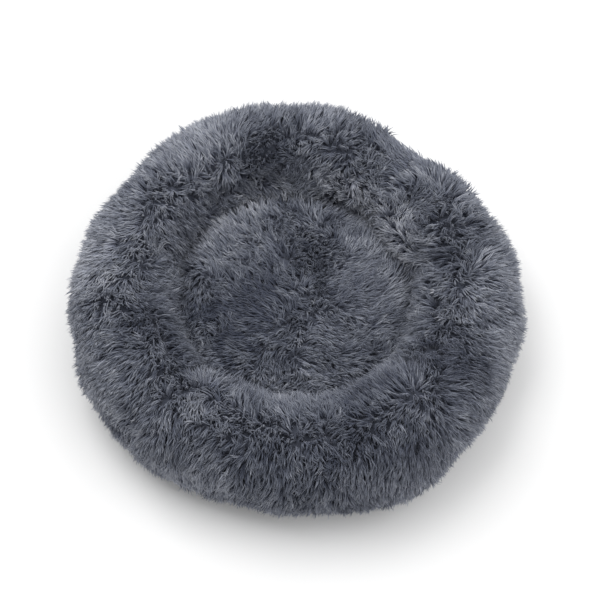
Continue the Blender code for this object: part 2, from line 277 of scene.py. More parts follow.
def tube_section(over, half_width, rise):
    """The (radius, height) round the tube: a superellipse centred on its widest line."""
    across, up = np.cos(radians(over)), np.sin(radians(over))
    power = 2.0 / SQUARENESS
    radius = TUBE_RADIUS + half_width * np.sign(across) * np.abs(across) ** power
    reach = np.where(up > 0.0, rise, WIDEST_HEIGHT)
    return radius, WIDEST_HEIGHT + reach * np.sign(up) * np.abs(up) ** power


def over_below(height):
    """How far below the widest line, in degrees, the tube's side comes down to this height."""
    share = (WIDEST_HEIGHT - height) / WIDEST_HEIGHT
    return math.degrees(math.asin(share ** (SQUARENESS / 2.0)))


def arch_overs():
    """The overs of the cover's rows, evenly spaced along its section from the rim to the inner seam."""
    fine = np.linspace(-over_below(RIM_HEIGHT), 180.0 + over_below(INNER_SEAM_HEIGHT), 2000)
    section = np.stack(tube_section(fine, *ARCH_SECTION), axis=-1)
    run = np.concatenate([[0.0], np.cumsum(np.linalg.norm(np.diff(section, axis=0), axis=1))])
    return np.interp(np.linspace(0.0, run[-1], ARCH_ROWS), run, fine)


def curve_between(first, second, third, fourth, count):
    """Points of a cubic Bezier curve with these four control points, without its two ends."""
    t = np.linspace(0.0, 1.0, count + 2)[1:-1, None]
    s = 1.0 - t
    first, second, third, fourth = (np.asarray(p, float) for p in (first, second, third, fourth))
    return s**3 * first + 3 * s * s * t * second + 3 * s * t * t * third + t**3 * fourth


def facing(over, way):
    """From 0 to 1: how far the tube faces out of the bed at this over for way 1, and into the well for -1."""
    return np.clip(0.45 + way * 0.75 * np.cos(radians(over)), 0.0, 1.0)


def creased(turn, over):
    """How far the tube's surface stands out beside the creases, and sinks in them."""
    total = 0.0
    for middle, spread, over_middle, over_spread, depth in CREASES:
        across = hump(over - over_middle, over_spread)
        near = hump(nearest_turn(turn, middle), spread) * across
        shoulders = hump(nearest_turn(turn, middle), 2.6 * spread) * across
        total = total + depth * (0.35 * shoulders - 1.35 * near)
    return total


def stuffed_ring():
    """The stuffed bolster as a closed tube of rows by turns.

    Each upright section is a superellipse closed by a flat curve underneath. The outline then moves in
    and out by bell curves of the turn, the surface sinks along creases that are bell curves of turn and
    over, and both seams are gathered by waves that fade away from them.
    """
    overs = arch_overs()
    turns = np.arange(RING_COLUMNS) * 360.0 / RING_COLUMNS
    half_width = BOLSTER_WIDTH / 2 - BACKING_DEPTH
    rise = TOP_HEIGHT - WIDEST_HEIGHT - CREST_DEPTH
    radius, height = tube_section(overs, half_width, rise)
    under = curve_between(
        (radius[-1], height[-1]),
        (radius[-1] + 0.004, UNDERSIDE_HEIGHT - 0.006),
        (radius[0] - 0.034, UNDERSIDE_HEIGHT - 0.002),
        (radius[0], height[0]),
        UNDER_ROWS,
    )
    radius = np.concatenate([radius, under[:, 0]])[:, None]
    height = np.concatenate([height, under[:, 1]])[:, None]
    row_over = np.concatenate([overs, np.linspace(overs[-1], overs[0] + 360.0, UNDER_ROWS + 2)[1:-1]])
    over, turn = row_over[:, None], turns[None, :]
    outwards = facing(over, 1.0) * (height > RIM_HEIGHT + SEAM_MARGIN)
    inwards = facing(over, -1.0) * (height > INNER_SEAM_HEIGHT + SEAM_MARGIN)
    stand, wall = (
        sum(amount * hump(nearest_turn(turn, middle), spread) for middle, spread, amount in humps)
        for humps in (OUTLINE, WALL)
    )
    wall = wall + WALL_WANDER * drift(around(TUBE_RADIUS - 0.07, turn, 0.0), 0.075, 3, 1)[..., 0]
    sheet = around(radius + outwards * stand - inwards * wall, turn, height)
    normal = closed_tube_normals(sheet)
    wander = drift(sheet, 0.05, 5, 1)[..., 0]
    gather = np.sin(radians(turn) * BOLSTER_GATHERS + 2.0 * drift(sheet, 0.04, 7, 1)[..., 0])
    inner = hump(np.minimum(over - 205.0, 0.0), 34.0)
    outer = hump(np.maximum(over + 70.0, 0.0), 30.0)
    relief = creased(turn, over) + 0.0030 * wander + gather * (0.0020 * inner + 0.0011 * outer)
    inside_arch = (np.arange(len(row_over)) < ARCH_ROWS)[:, None]
    relief = relief * inside_arch * np.clip((height - RIM_HEIGHT) / 0.02, 0.0, 1.0)
    return sheet + normal * relief[..., None], overs


def closed_tube_normals(sheet):
    """Outward normals of a sheet whose rows and columns both close on themselves."""
    along = np.roll(sheet, -1, axis=1) - np.roll(sheet, 1, axis=1)
    up = np.roll(sheet, -1, axis=0) - np.roll(sheet, 1, axis=0)
    return unit(np.cross(along, up))


def disc_grid(cells):
    """A square grid drawn into the unit disc, so that it has no pole: each square ring becomes a circle."""
    step = np.linspace(-1.0, 1.0, cells + 1)
    u, v = np.meshgrid(step, step)
    square = np.maximum(np.abs(u), np.abs(v))
    round_off = np.maximum(np.hypot(u, v), 1e-9)
    return u * square / round_off, v * square / round_off


def centre_sheet():
    """The centre panel's backing: a low dome, higher where the pad is crowded against the bolster."""
    x, y = disc_grid(PAD_CELLS)
    share = np.hypot(x, y)
    edge = CENTRE_HIGH[2] - CENTRE_EDGE_DROP - BACKING_DEPTH
    middle = CENTRE_HIGH[2] - BACKING_DEPTH
    height = edge + (middle - edge) * (1.0 - share**2)
    turn = np.degrees(np.arctan2(y, x))
    reach = CENTRE_RADIUS - CENTRE_INSET
    crowded = hump(nearest_turn(turn, 135.0), 42.0) * hump(share - 0.86, 0.16)
    hollow = hump(np.hypot(x - 0.15, y + 0.1), 0.5)
    points = np.stack([x * reach, y * reach, height], axis=-1)
    waves = drift(points, 0.045, 11, 1)[..., 0] * 0.0035 * (1.0 - share**4)
    gather = np.sin(radians(turn) * CENTRE_GATHERS + drift(points, 0.04, 13, 1)[..., 0] * 2.0)
    points[..., 2] += 0.0170 * crowded - 0.0050 * hollow + waves
    points[..., 2] += 0.0012 * gather * hump(share - 1.0, 0.22) * (1.0 - share**8)
    return points


def simulate(name, points, faces, pinned, pressure, cap):
    """Blows a cloth mesh up by a steady pressure for 20 frames, its pinned points held.

    No point moves further than cap.
    """
    shape = points.shape
    mesh = mesh_of(name, points.reshape(-1, 3), faces)
    cloth = bpy.data.objects.new(name, mesh)
    bpy.context.scene.collection.objects.link(cloth)
    group = cloth.vertex_groups.new(name="sewn")
    flat = np.asarray(pinned, float).ravel()
    for weight in np.unique(flat[flat > 0.0]):
        group.add(np.flatnonzero(flat == weight).tolist(), float(weight), "REPLACE")
    modifier = cloth.modifiers.new("stuffing", "CLOTH")
    settings = modifier.settings
    settings.vertex_group_mass = "sewn"
    settings.quality = 5
    settings.mass = 0.3
    settings.tension_stiffness = settings.compression_stiffness = 12.0
    settings.shear_stiffness = 6.0
    settings.bending_stiffness = 0.6
    settings.use_pressure = True
    settings.uniform_pressure_force = pressure
    settings.effector_weights.gravity = 0.0
    modifier.collision_settings.use_collision = False
    scene = bpy.context.scene
    for step in range(1, 21):
        scene.frame_set(step)
    evaluated = cloth.evaluated_get(bpy.context.evaluated_depsgraph_get())
    moved = np.empty(len(mesh.vertices) * 3, np.float32)
    evaluated.data.vertices.foreach_get("co", moved)
    scene.frame_set(1)
    bpy.data.objects.remove(cloth)
    bpy.data.meshes.remove(mesh)
    step = moved.reshape(shape) - points
    size = np.linalg.norm(step, axis=-1, keepdims=True)
    return points + step * cap * np.tanh(size / cap) / np.maximum(size, 1e-9)


def simulated_ring():
    """The bolster blown up, held at its seams and underneath, and the overs of its rows."""
    start, overs = stuffed_ring()
    rows, columns = start.shape[:2]
    pinned = np.zeros((rows, columns))
    pinned[ARCH_ROWS:] = 1.0
    pinned[0] = pinned[ARCH_ROWS - 1] = 1.0
    for seam in CROSS_SEAMS:
        pinned[:, round(seam / 360.0 * columns) % columns] = 1.0
    faces = sheet_faces(rows, columns, closed_rows=True, closed_columns=True)
    slack = start - closed_tube_normals(start) * 0.0015
    slack[pinned == 1.0] = start[pinned == 1.0]
    return simulate("bolster_stuffing", slack, faces, pinned, 4.0, 0.006), overs


def simulated_centre():
    """The centre panel blown up, held round its edge."""
    start = centre_sheet()
    count = PAD_CELLS + 1
    pinned = np.zeros((count, count))
    pinned[[0, -1], :] = 1.0
    pinned[:, [0, -1]] = 1.0
    return simulate("centre_stuffing", start, sheet_faces(count, count), pinned, 1.5, 0.004)


# ---------------------------------------------------------------- the pile

# Lightness across the map, and root to tip up it, as stops of (place, colour)
PILE_SHADES = (
    (0.0, (0.037, 0.046, 0.070)),
    (0.45, (0.152, 0.169, 0.198)),
    (1.0, (0.412, 0.435, 0.460)),
)
# Root to tip: painted shade deep in the pile, darkest and bluest at the roots, and painted light at the tips
PAINTED_ROOT_SHADE_TIP_LIGHT = (
    (0.0, (0.49, 0.53, 0.70)),
    (0.45, (0.865, 0.878, 0.92)),
    (1.0, (1.09, 1.085, 1.05)),
)
STREAK_TONES = ((0.30, (0.947, 0.935, 1.005)), (0.70, (1.064, 1.04, 1.088)))

STRANDS_PER_LOCK = 4
BOLSTER_LOCKS = 20000
CENTRE_LOCKS = 3600
STRAND_SHARES = np.array([0.0, 0.35, 0.70, 1.0])  # where a strand's rings and its tip are
STRAND_FULLNESS = np.array([0.75, 1.0, 0.74])
STRAND_SIDES = 3
MAP_WIDTH = 0.014  # of one strand on the colour map
STAND = 0.80  # how firmly the pile stands against the way that it is combed
BEND = 52.0  # degrees that a strand bends from root to tip
GATHER = 0.74  # how far a lock's strands draw together at the tip
LOCK_REACH = 0.0026
ROOT_DEPTH = 0.0006
STRAND_WIDTH = 0.0020
STRAND_FLATNESS = 0.75
FLOOR_CLEARANCE = 0.0010
CLEAR_RAMP = 0.003
# What the pile is kept off: (turn, half its width, height). The label, and the pull at either end of the zip
KEPT_CLEAR = (
    (LABEL_TURN, LABEL_WIDTH / 2 + 0.002, 0.0060),
    (0.0, 0.0055, 0.0052),
    (180.0, 0.0055, 0.0052),
)
BOLSTER_PILE = 0.0245  # length of the pile
CENTRE_PILE = 0.0215
# How the bolster's nap leans: at each over, how far up the tube and so towards the middle
NAP_OVERS = (-70, -20, 30, 75, 105, 135, 200)
NAP_LEANS = (-0.60, -0.60, -0.70, -0.35, 0.15, 0.65, 0.75)
LOCK_STRAY = 0.24  # how far each lock strays at random from its neighbours

# How the nap was stroked: (turn, over, reach, way it points, how firmly, how much lighter it is painted:
# painted light where positive, painted shade where negative)
BOLSTER_STROKES = (
    (50, 35, 0.065, (-0.60, 0.60, 0.1), 2, 0.10),
    (46, 92, 0.036, (-0.50, 0.40, 0.1), 1.4, 0.14),
    (55, 156, 0.036, (0.50, 0.60, 0.3), 1.8, 0.34),
    (72, 168, 0.032, (0.40, 0.50, 0.3), 1.6, 0.30),
    (70, 98, 0.034, (0.30, -0.5, 0.6), 1.2, -0.10),
    (88, 30, 0.062, (0.1, 0.8, 0.2), 1.4, 0.34),
    (80, 68, 0.040, (0.4, 0.6, 0.2), 1.2, 0.28),
    (97, 95, 0.045, (0.1, -0.7, 0.7), 1.4, -0.04),
    (105, 128, 0.036, (0.2, -0.5, 0.7), 1.6, -0.34),
    (103, 106, 0.028, (0.2, -0.5, 0.7), 1.2, -0.22),
    (120, 45, 0.060, (-0.4, 0.7, 0), 2, 0.40),
    (121, 96, 0.032, (-0.3, 0.6, 0.1), 1.6, 0.44),
    (142, 45, 0.070, (-0.7, 0.3, 0), 1.6, 0.12),
    (96, 193, 0.022, (-0.1, 0.6, 0.8), 2.8, 0.50),
    (79, 186, 0.024, (0.1, 0.6, 0.8), 2.4, 0.42),
    (24, 166, 0.028, (0.6, 0.3, 0.2), 1.6, 0.46),
    (68, 162, 0.022, (0.3, 0.5, 0.5), 1.6, 0.40),
    (39, 119, 0.024, (0.4, -0.6, 0.4), 0.8, -0.32),
    (273, 58, 0.026, (0.1, -0.6, 0.5), 0.8, -0.32),
    (6, 110, 0.030, (0.3, -0.6, 0.3), 0.8, -0.24),
    (113, 194, 0.021, (-0.3, 0.5, 0.8), 3, 0.66),
    (130, 194, 0.021, (-0.4, 0.4, 0.8), 3, 0.64),
    (147, 193, 0.022, (-0.5, 0.3, 0.8), 2.8, 0.36),
    (112, 160, 0.024, (0.1, -0.5, 0.7), 1.6, -0.56),
    (131, 161, 0.022, (0.3, -0.5, 0.7), 1.6, -0.44),
    (165, 188, 0.026, (-0.6, 0.1, 0.8), 2, 0.06),
    (133, 146, 0.026, (0.4, -0.5, 0.6), 1.6, -0.14),
    (150, 112, 0.034, (0.6, -0.4, 0.3), 1.6, 0.12),
    (178, 84, 0.046, (-0.2, -0.8, 0.2), 1.4, 0.32),
    (172, 24, 0.062, (-0.9, 0.1, 0.1), 1.6, 0.52),
    (212, 52, 0.060, (-0.9, -0.4, 0), 1.6, 0.20),
    (166, 50, 0.036, (-0.8, 0.1, 0), 1.4, 0.22),
    (198, 114, 0.040, (0.1, -0.5, 0.8), 1.2, -0.40),
    (226, 50, 0.034, (-0.6, -0.6, 0.1), 1.4, 0.08),
    (247, 156, 0.034, (0.2, 0.8, 0.3), 1.4, -0.22),
    (222, 122, 0.036, (0.3, -0.5, 0.8), 1.2, -0.14),
    (240, 35, 0.052, (-0.4, -0.8, 0), 1.4, 0.06),
    (239, 106, 0.034, (-0.3, -0.7, 0.1), 1.6, 0.24),
    (262, 72, 0.045, (0.1, -0.5, 0.7), 1.2, -0.20),
    (287, 66, 0.048, (0.2, -0.5, 0.7), 1.2, -0.42),
    (260, -4, 0.050, (-0.1, -0.7, 0.2), 1.2, -0.34),
    (270, 22, 0.030, (0, -0.8, 0.1), 1.4, 0.06),
    (285, 0, 0.040, (0.2, -0.7, 0.2), 1.2, -0.28),
    (316, 152, 0.030, (-0.4, 0.6, 0.3), 1.4, -0.06),
    (302, 126, 0.045, (-0.5, 0.6, 0.3), 1.8, -0.44),
    (302, 47, 0.045, (0.3, -0.7, 0.4), 1.2, -0.38),
    (329, 66, 0.038, (0.4, -0.4, 0.6), 1.2, -0.26),
    (322, 22, 0.055, (0.7, -0.6, 0), 1.6, -0.02),
    (328, 90, 0.036, (0.5, -0.5, 0.5), 1.2, -0.32),
    (345, 112, 0.048, (0.3, -0.7, 0.1), 1.8, 0.04),
    (346, 15, 0.064, (0.9, -0.2, 0.1), 1.4, 0.28),
    (20, 108, 0.046, (0.1, -0.6, 0.6), 1.2, -0.10),
    (12, 42, 0.062, (0.9, 0.3, 0.1), 1.6, 0.24),
    (61, 103, 0.032, (0.4, -0.6, 0.4), 1.6, -0.24),
    (29, 122, 0.030, (0.4, -0.6, 0.4), 1.6, -0.24),
    (34, 154, 0.036, (0.6, 0.3, 0.2), 1.8, 0.28),
    (268, 160, 0.042, (0, 0.9, 0.2), 2, 0.12),
    (232, 165, 0.036, (0.3, 0.8, 0.2), 1.8, -0.04),
)
# How the centre's nap was stroked: (turn, distance from the middle, reach, way it points, how firmly, how
# much lighter it is painted: painted light where positive, painted shade where negative)
CENTRE_STROKES = (
    (114, 0.142, 0.024, (-0.30, 0.60, 0.7), 2.8, 0.50),
    (134, 0.142, 0.023, (-0.50, 0.50, 0.7), 3, 0.50),
    (154, 0.138, 0.023, (-0.70, 0.30, 0.6), 2.4, 0.30),
    (150, 0.106, 0.026, (-0.70, 0.30, 0.5), 1.4, 0.02),
    (184, 0.136, 0.030, (-0.4, -0.8, 0.3), 1.2, -0.24),
    (85, 0.105, 0.036, (-0.2, -0.6, 0.5), 1.4, 0.04),
    (60, 0.147, 0.026, (0.4, 0.6, 0.3), 2, 0.44),
    (32, 0.146, 0.030, (0.5, 0.6, 0.2), 1.8, 0.20),
    (2, 0.140, 0.030, (0.9, 0.2, 0.1), 1.8, 0.22),
    (0, 0.085, 0.045, (1, 0.15, 0.1), 1.2, -0.04),
    (296, 0.080, 0.050, (0.9, -0.4, 0.1), 1.2, -0.06),
    (205, 0.095, 0.040, (-0.7, -0.6, 0.3), 1.2, -0.18),
    (246, 0.145, 0.030, (0.3, -0.8, 0.5), 1, -0.10),
    (302, 0.146, 0.026, (0.4, -0.5, 0.3), 1.4, 0.20),
    (66, 0.065, 0.040, (0.3, -0.6, 0.5), 1.6, -0.20),
    (190, 0.030, 0.045, (-0.7, 0.5, 0.2), 1.4, -0.34),
)


def at_cells(sheet, cells, closed_columns=True):
    """A sheet's values at places given as (row, column, share up, share along), blended from four corners."""
    row, column, up, along = cells
    columns = sheet.shape[1]
    next_column = (column + 1) % columns if closed_columns else column + 1
    up, along = up[:, None], along[:, None]
    low = sheet[row, column] * (1 - along) + sheet[row, next_column] * along
    high = sheet[row + 1, column] * (1 - along) + sheet[row + 1, next_column] * along
    return low * (1 - up) + high * up


def scatter(sheet, count, random, closed_columns=True):
    """Spreads count places over a sheet evenly by area.

    The places are equal steps through the sheet's running area, each moved by chance within its step.
    """
    if closed_columns:
        wrapped = np.concatenate([sheet, sheet[:, :1]], axis=1)
    else:
        wrapped = sheet
    first = np.diff(wrapped, axis=1)[:-1]
    second = np.diff(wrapped, axis=0)[:, :-1]
    area = np.linalg.norm(np.cross(first, second), axis=-1)
    running = np.cumsum(area.ravel())
    mark = (np.arange(count) + random.uniform(0.0, 1.0, count)) / count * running[-1]
    cell = np.searchsorted(running, mark).clip(0, area.size - 1)
    row, column = np.divmod(cell, area.shape[1])
    return row, column, random.uniform(0.0, 1.0, count), random.uniform(0.0, 1.0, count)


def stroked(points, strokes, place):
    """The sums of the strokes' directions and of their painted light and shade at these points.

    Each stroke fades from its middle by a bell curve of the distance.
    """
    push, painted_light_and_shade = np.zeros_like(points), np.zeros(len(points))
    for turn, where, reach, way, firmness, painted_lightening in strokes:
        distance = np.linalg.norm(points - place(turn, where), axis=-1)
        weight = hump(distance, reach)
        push += (weight * firmness)[:, None] * unit(np.array(way, float))
        painted_light_and_shade += weight * painted_lightening
    return push, painted_light_and_shade


def grow(points, normal, comb, length, shade, random):
    """Closed tapered strands, several to a lock, as (points, triangles, UV corners).

    A lock starts at a point, leans from the normal towards comb and bends further over towards its tip.
    Its strands start round it, draw together towards its tip and each wander a little. A strand is three
    rings of three points and a tip.
    """
    count = len(points) * STRANDS_PER_LOCK
    lock = np.repeat(np.arange(len(points)), STRANDS_PER_LOCK)
    normal, comb, base = normal[lock], comb[lock], points[lock]
    combed = np.linalg.norm(comb, axis=-1)
    way = unit(comb)
    side = unit(np.cross(normal, way))
    lean = np.degrees(np.arctan2(combed, STAND)) + random.normal(0.0, 7.0, count)
    lean = np.clip(lean, 6.0, 72.0)
    twist = random.normal(0.0, 0.20, count)
    way = unit(way + side * twist[:, None])
    side = unit(np.cross(normal, way))
    spread_angle = random.uniform(0.0, 2.0 * np.pi, count)
    spread_reach = LOCK_REACH * np.sqrt(random.uniform(0.0, 1.0, count))
    start = (np.cos(spread_angle) * spread_reach)[:, None] * way
    start = start + (np.sin(spread_angle) * spread_reach)[:, None] * side
    run = length[lock] * random.uniform(0.80, 1.12, count)
    wander = random.normal(0.0, 0.05, (count, 3))
    centres = [base + start - normal * ROOT_DEPTH]
    for near, far in zip(STRAND_SHARES[:-1], STRAND_SHARES[1:]):
        bend = radians(lean + (0.5 * (near + far) - 0.45) * BEND)
        heading = normal * np.cos(bend)[:, None] + way * np.sin(bend)[:, None] + wander * (near + far)
        centres.append(centres[-1] + unit(heading) * (run * (far - near))[:, None])
    for step, share in enumerate(STRAND_SHARES):
        centres[step] = centres[step] - start * (GATHER * share)
        centres[step][:, 2] = np.maximum(centres[step][:, 2], floor_under(centres[step]))
    width = STRAND_WIDTH * random.uniform(0.75, 1.25, count)
    corners = np.arange(STRAND_SIDES) * 2.0 * np.pi / STRAND_SIDES
    made = []
    for step in range(3):
        heading = unit(centres[step + 1] - centres[max(step - 1, 0)])
        flank = unit(np.cross(heading, side) + 1e-9)
        size = (width * STRAND_FULLNESS[step] / 2.0)[:, None, None]
        round_it = side[:, None, :] * np.cos(corners)[None, :, None]
        round_it = round_it + flank[:, None, :] * np.sin(corners)[None, :, None] * STRAND_FLATNESS
        made.append(centres[step][:, None, :] + round_it * size)
    made.append(centres[3][:, None, :])
    cloud = np.concatenate(made, axis=1)
    cloud[..., 2] = np.maximum(cloud[..., 2], floor_under(cloud) - FLOOR_CLEARANCE / 2)
    faces, maps = strand_pattern()
    per_strand = cloud.shape[1]
    triangles = faces[None] + (np.arange(count) * per_strand)[:, None, None]
    across = np.clip(shade[lock] + random.normal(0.0, 0.06, count), 0.01, 0.985 - MAP_WIDTH)
    corners_uv = np.broadcast_to(maps, (count, *maps.shape)).copy()
    corners_uv[..., 0] += across[:, None, None]
    return cloud.reshape(-1, 3), triangles.reshape(-1, 3), corners_uv.reshape(-1, 3, 2)


def floor_under(points):
    """How low the pile may hang: just off the floor, and higher past the base where something is kept clear.

    Across each kept strip and out past the base's edge the height rises by straight ramps.
    """
    height = FLOOR_CLEARANCE
    for turn, half_width, clearance in KEPT_CLEAR:
        out = around(1.0, turn, 0.0)
        along = points[..., 0] * out[0] + points[..., 1] * out[1]
        across = points[..., 1] * out[0] - points[..., 0] * out[1]
        beside = np.clip((half_width + CLEAR_RAMP - np.abs(across)) / CLEAR_RAMP, 0.0, 1.0)
        past = np.clip((along - BASE_RADIUS) / CLEAR_RAMP + 2.0, 0.0, 1.0)
        height = height + (clearance - FLOOR_CLEARANCE) * beside * past
    return height


def strand_pattern():
    """One strand's triangles, and their UV corners: across is the strand's shade, painted light and shade
    included, up is root to tip.
    """
    faces, maps = [], []
    for ring in range(2):
        low, high = STRAND_SHARES[ring], STRAND_SHARES[ring + 1]
        for corner in range(STRAND_SIDES):
            other = (corner + 1) % STRAND_SIDES
            a, b = ring * STRAND_SIDES + corner, ring * STRAND_SIDES + other
            c, d = b + STRAND_SIDES, a + STRAND_SIDES
            faces += [(a, b, c), (a, c, d)]
            maps += [((0, low), (MAP_WIDTH, low), (MAP_WIDTH, high))]
            maps += [((0, low), (MAP_WIDTH, high), (0, high))]
    tip, ring = 3 * STRAND_SIDES, 2 * STRAND_SIDES
    for corner in range(STRAND_SIDES):
        faces.append((ring + corner, ring + (corner + 1) % STRAND_SIDES, tip))
        low, high = STRAND_SHARES[2], STRAND_SHARES[3]
        maps.append(((0, low), (MAP_WIDTH, low), (MAP_WIDTH / 2, high)))
    faces.append((2, 1, 0))
    maps.append(((0, 0), (MAP_WIDTH, 0), (MAP_WIDTH / 2, 0.02)))
    return np.array(faces), np.array(maps, float)


def ring_place(turn, over):
    """A place on the bolster's section over its pile."""
    radius, height = tube_section(over, BOLSTER_WIDTH / 2, TOP_HEIGHT - WIDEST_HEIGHT)
    return around(radius, turn, height)


def centre_place(turn, radius):
    """A place on the centre, a little under the top of its pile."""
    return around(radius, turn, CENTRE_HIGH[2] - 0.01)


def tangled(points, seed):
    """How the pile strays from its combing: tufts of about 15 mm on cowlicks of about 55 mm."""
    return 0.44 * drift(points, 0.055, seed) + 0.50 * drift(points, 0.017, seed + 1)


def without_normal(vectors, normal):
    """Vectors less their share along the normal, so that they lie in the surface."""
    return vectors - (vectors * normal).sum(axis=-1, keepdims=True) * normal


def shade_of(points, painted_light_and_shade, random, seed):
    """Each lock's lightness from 0 to 1: broad patches, small tufts, its own chance, and the painted light
    and shade that it is given.
    """
    broad = drift(points, 0.06, seed, 1)[:, 0] * 0.08
    tuft = drift(points, 0.013, seed + 1, 1)[:, 0] * 0.15
    return 0.455 + broad + tuft + painted_light_and_shade + random.normal(0.0, 0.12, len(points))


def combed_with(push, normal, base):
    """The combing, and how much less it leans where a stroke lifts it."""
    lift = (push * normal).sum(axis=-1)
    comb = without_normal(base + push, normal)
    return comb * np.clip(1.0 - 0.55 * np.maximum(lift, 0.0), 0.25, 1.3)[:, None]


def bolster_locks(sheet, overs, random):
    """The bolster's locks: points, normals, combing, lengths, shades and turns.

    The nap leans by a table of the over and two waves of the turn, and then come the tangle, the strokes and
    each lock's own straying. Near the floor it is swept outwards and shorter, as beside the cross seams.
    """
    arch = sheet[:ARCH_ROWS]
    cells = scatter(arch, BOLSTER_LOCKS, random)
    points = at_cells(arch, cells)
    normal = unit(at_cells(closed_tube_normals(sheet)[:ARCH_ROWS], cells))
    along, up = slopes(arch, True)
    along, up = unit(at_cells(along, cells)), unit(at_cells(up, cells))
    over = overs[cells[0]] * (1 - cells[2]) + overs[cells[0] + 1] * cells[2]
    turn = np.degrees(np.arctan2(points[:, 1], points[:, 0])) % 360.0
    inwards = np.interp(over, NAP_OVERS, NAP_LEANS)
    sideways = 0.30 * np.sin(radians(turn * 2.0 + 40.0)) + 0.15 * np.sin(radians(turn * 5.0))
    base = up * inwards[:, None] + along * sideways[:, None] + tangled(points, 21)
    base = base + random.normal(0.0, LOCK_STRAY, base.shape)
    push, painted_light_and_shade = stroked(points, BOLSTER_STROKES, ring_place)
    comb = combed_with(push, normal, base)
    near_floor = np.clip((points[:, 2] - RIM_HEIGHT) / 0.035, 0.0, 1.0)[:, None]
    outwards = unit(points * (1.0, 1.0, 0.0))
    swept = without_normal(outwards * 0.6 - np.array((0, 0, 0.25)), normal)
    comb = comb * near_floor + swept * (1 - near_floor)
    length = BOLSTER_PILE * (0.55 + 0.45 * near_floor[:, 0]) * random.uniform(0.88, 1.12, len(points))
    seam = min_seam_distance(turn) * np.hypot(points[:, 0], points[:, 1])
    length = length * (1.0 - 0.30 * hump(seam, 0.008)) * np.interp(over, (10.0, 60.0), (0.76, 1.0))
    # Painted light on the tube's outer side, fading out by an over of 60, and painted shade along its top
    painted_light_and_shade = painted_light_and_shade + np.interp(over, (0.0, 60.0), (0.08, 0.0)) - 0.05 * hump(over - 95.0, 30.0)
    return points, normal, comb, length, shade_of(points, painted_light_and_shade, random, 31), turn


def min_seam_distance(turn):
    """The angle in radians from the nearest cross seam."""
    return radians(np.min([np.abs(nearest_turn(turn, seam)) for seam in CROSS_SEAMS], axis=0))


def centre_locks(sheet, random):
    """The centre's locks: points, normals, combing, lengths and shades, combed out from the middle."""
    cells = scatter(sheet, CENTRE_LOCKS, random, closed_columns=False)
    points = at_cells(sheet, cells, closed_columns=False)
    normal = unit(at_cells(normals_of(sheet, False), cells, closed_columns=False))
    outwards = unit(points * (1.0, 1.0, 0.0))
    share = np.hypot(points[:, 0], points[:, 1]) / CENTRE_RADIUS
    base = outwards * (0.10 + 0.25 * share)[:, None] + 1.15 * tangled(points, 41)
    base = base + random.normal(0.0, LOCK_STRAY, base.shape)
    push, painted_light_and_shade = stroked(points, CENTRE_STROKES, centre_place)
    comb = combed_with(push, normal, base)
    length = CENTRE_PILE * random.uniform(0.85, 1.12, len(points))
    # The centre's pile is painted 0.07 darker throughout: painted shade in the well
    return points, normal, comb, length, shade_of(points, painted_light_and_shade - 0.07, random, 51)


# ---------------------------------------------------------------- finishes

def new_finish(name, roughness, sheen=0.0, sheen_tint=(1.0, 1.0, 1.0), metallic=0.0):
    """A material with its shader's constants set, and a helper that adds a node.

    The helper takes the node's kind, a dictionary of its settings, and its inputs by name, or by number after
    an underscore. An input that is another node's output is joined, and any other is set.
    """
    finish = bpy.data.materials.new(name)
    finish.use_nodes = True
    tree = finish.node_tree
    shader = tree.nodes["Principled BSDF"]
    shader.inputs["Roughness"].default_value = roughness
    shader.inputs["Metallic"].default_value = metallic
    shader.inputs["Sheen Weight"].default_value = sheen
    shader.inputs["Sheen Roughness"].default_value = 0.45
    shader.inputs["Sheen Tint"].default_value = (*sheen_tint, 1.0)

    def add(kind, settings=None, **links):
        node = tree.nodes.new(kind)
        for key, value in (settings or {}).items():
            setattr(node, key, value)
        for socket, value in links.items():
            target = node.inputs[int(socket[1:])] if socket[1:].isdigit() else node.inputs[socket]
            if isinstance(value, bpy.types.NodeSocket):
                tree.links.new(value, target)
            else:
                target.default_value = value
        return node

    return finish, add


def dress(finish, add, colour, rough, relief):
    """Joins a colour, a roughness and a relief to a finish's shader.

    rough is (value, roughness where it is 0, roughness where it is 1), and relief (height, strength, depth).
    """
    value, low, high = rough
    height, strength, depth = relief
    spread = add("ShaderNodeMapRange", Value=value, _3=low, _4=high)
    bump = add("ShaderNodeBump", Strength=strength, Distance=depth, Height=height)
    sockets = finish.node_tree.nodes["Principled BSDF"].inputs
    for socket, output in (
        ("Base Color", colour),
        ("Roughness", spread.outputs["Result"]),
        ("Normal", bump.outputs["Normal"]),
    ):
        finish.node_tree.links.new(output, sockets[socket])
    return finish


def noise(add, place, scale, detail=2.0, **settings):
    """A noise pattern's value from 0 to 1."""
    return add("ShaderNodeTexNoise", Vector=place, Scale=scale, Detail=detail, **settings).outputs["Fac"]


def blended(add, value, share, base):
    """value x share + base."""
    return add("ShaderNodeMath", {"operation": "MULTIPLY_ADD"}, _0=value, _1=share, _2=base).outputs[0]


def ramp(add, value, stops):
    """A colour ramp over value, with stops of (place, colour)."""
    node = add("ShaderNodeValToRGB", Fac=value)
    elements = node.color_ramp.elements
    while len(elements) < len(stops):
        elements.new(0.5)
    for element, (place, colour) in zip(elements, stops):
        element.position = place
        element.color = (*colour, 1.0)
    return node.outputs["Color"]


def times(add, first, second):
    """Two colours multiplied."""
    mix = {"data_type": "RGBA", "blend_type": "MULTIPLY"}
    return add("ShaderNodeMix", mix, _0=1.0, _6=first, _7=second).outputs[2]


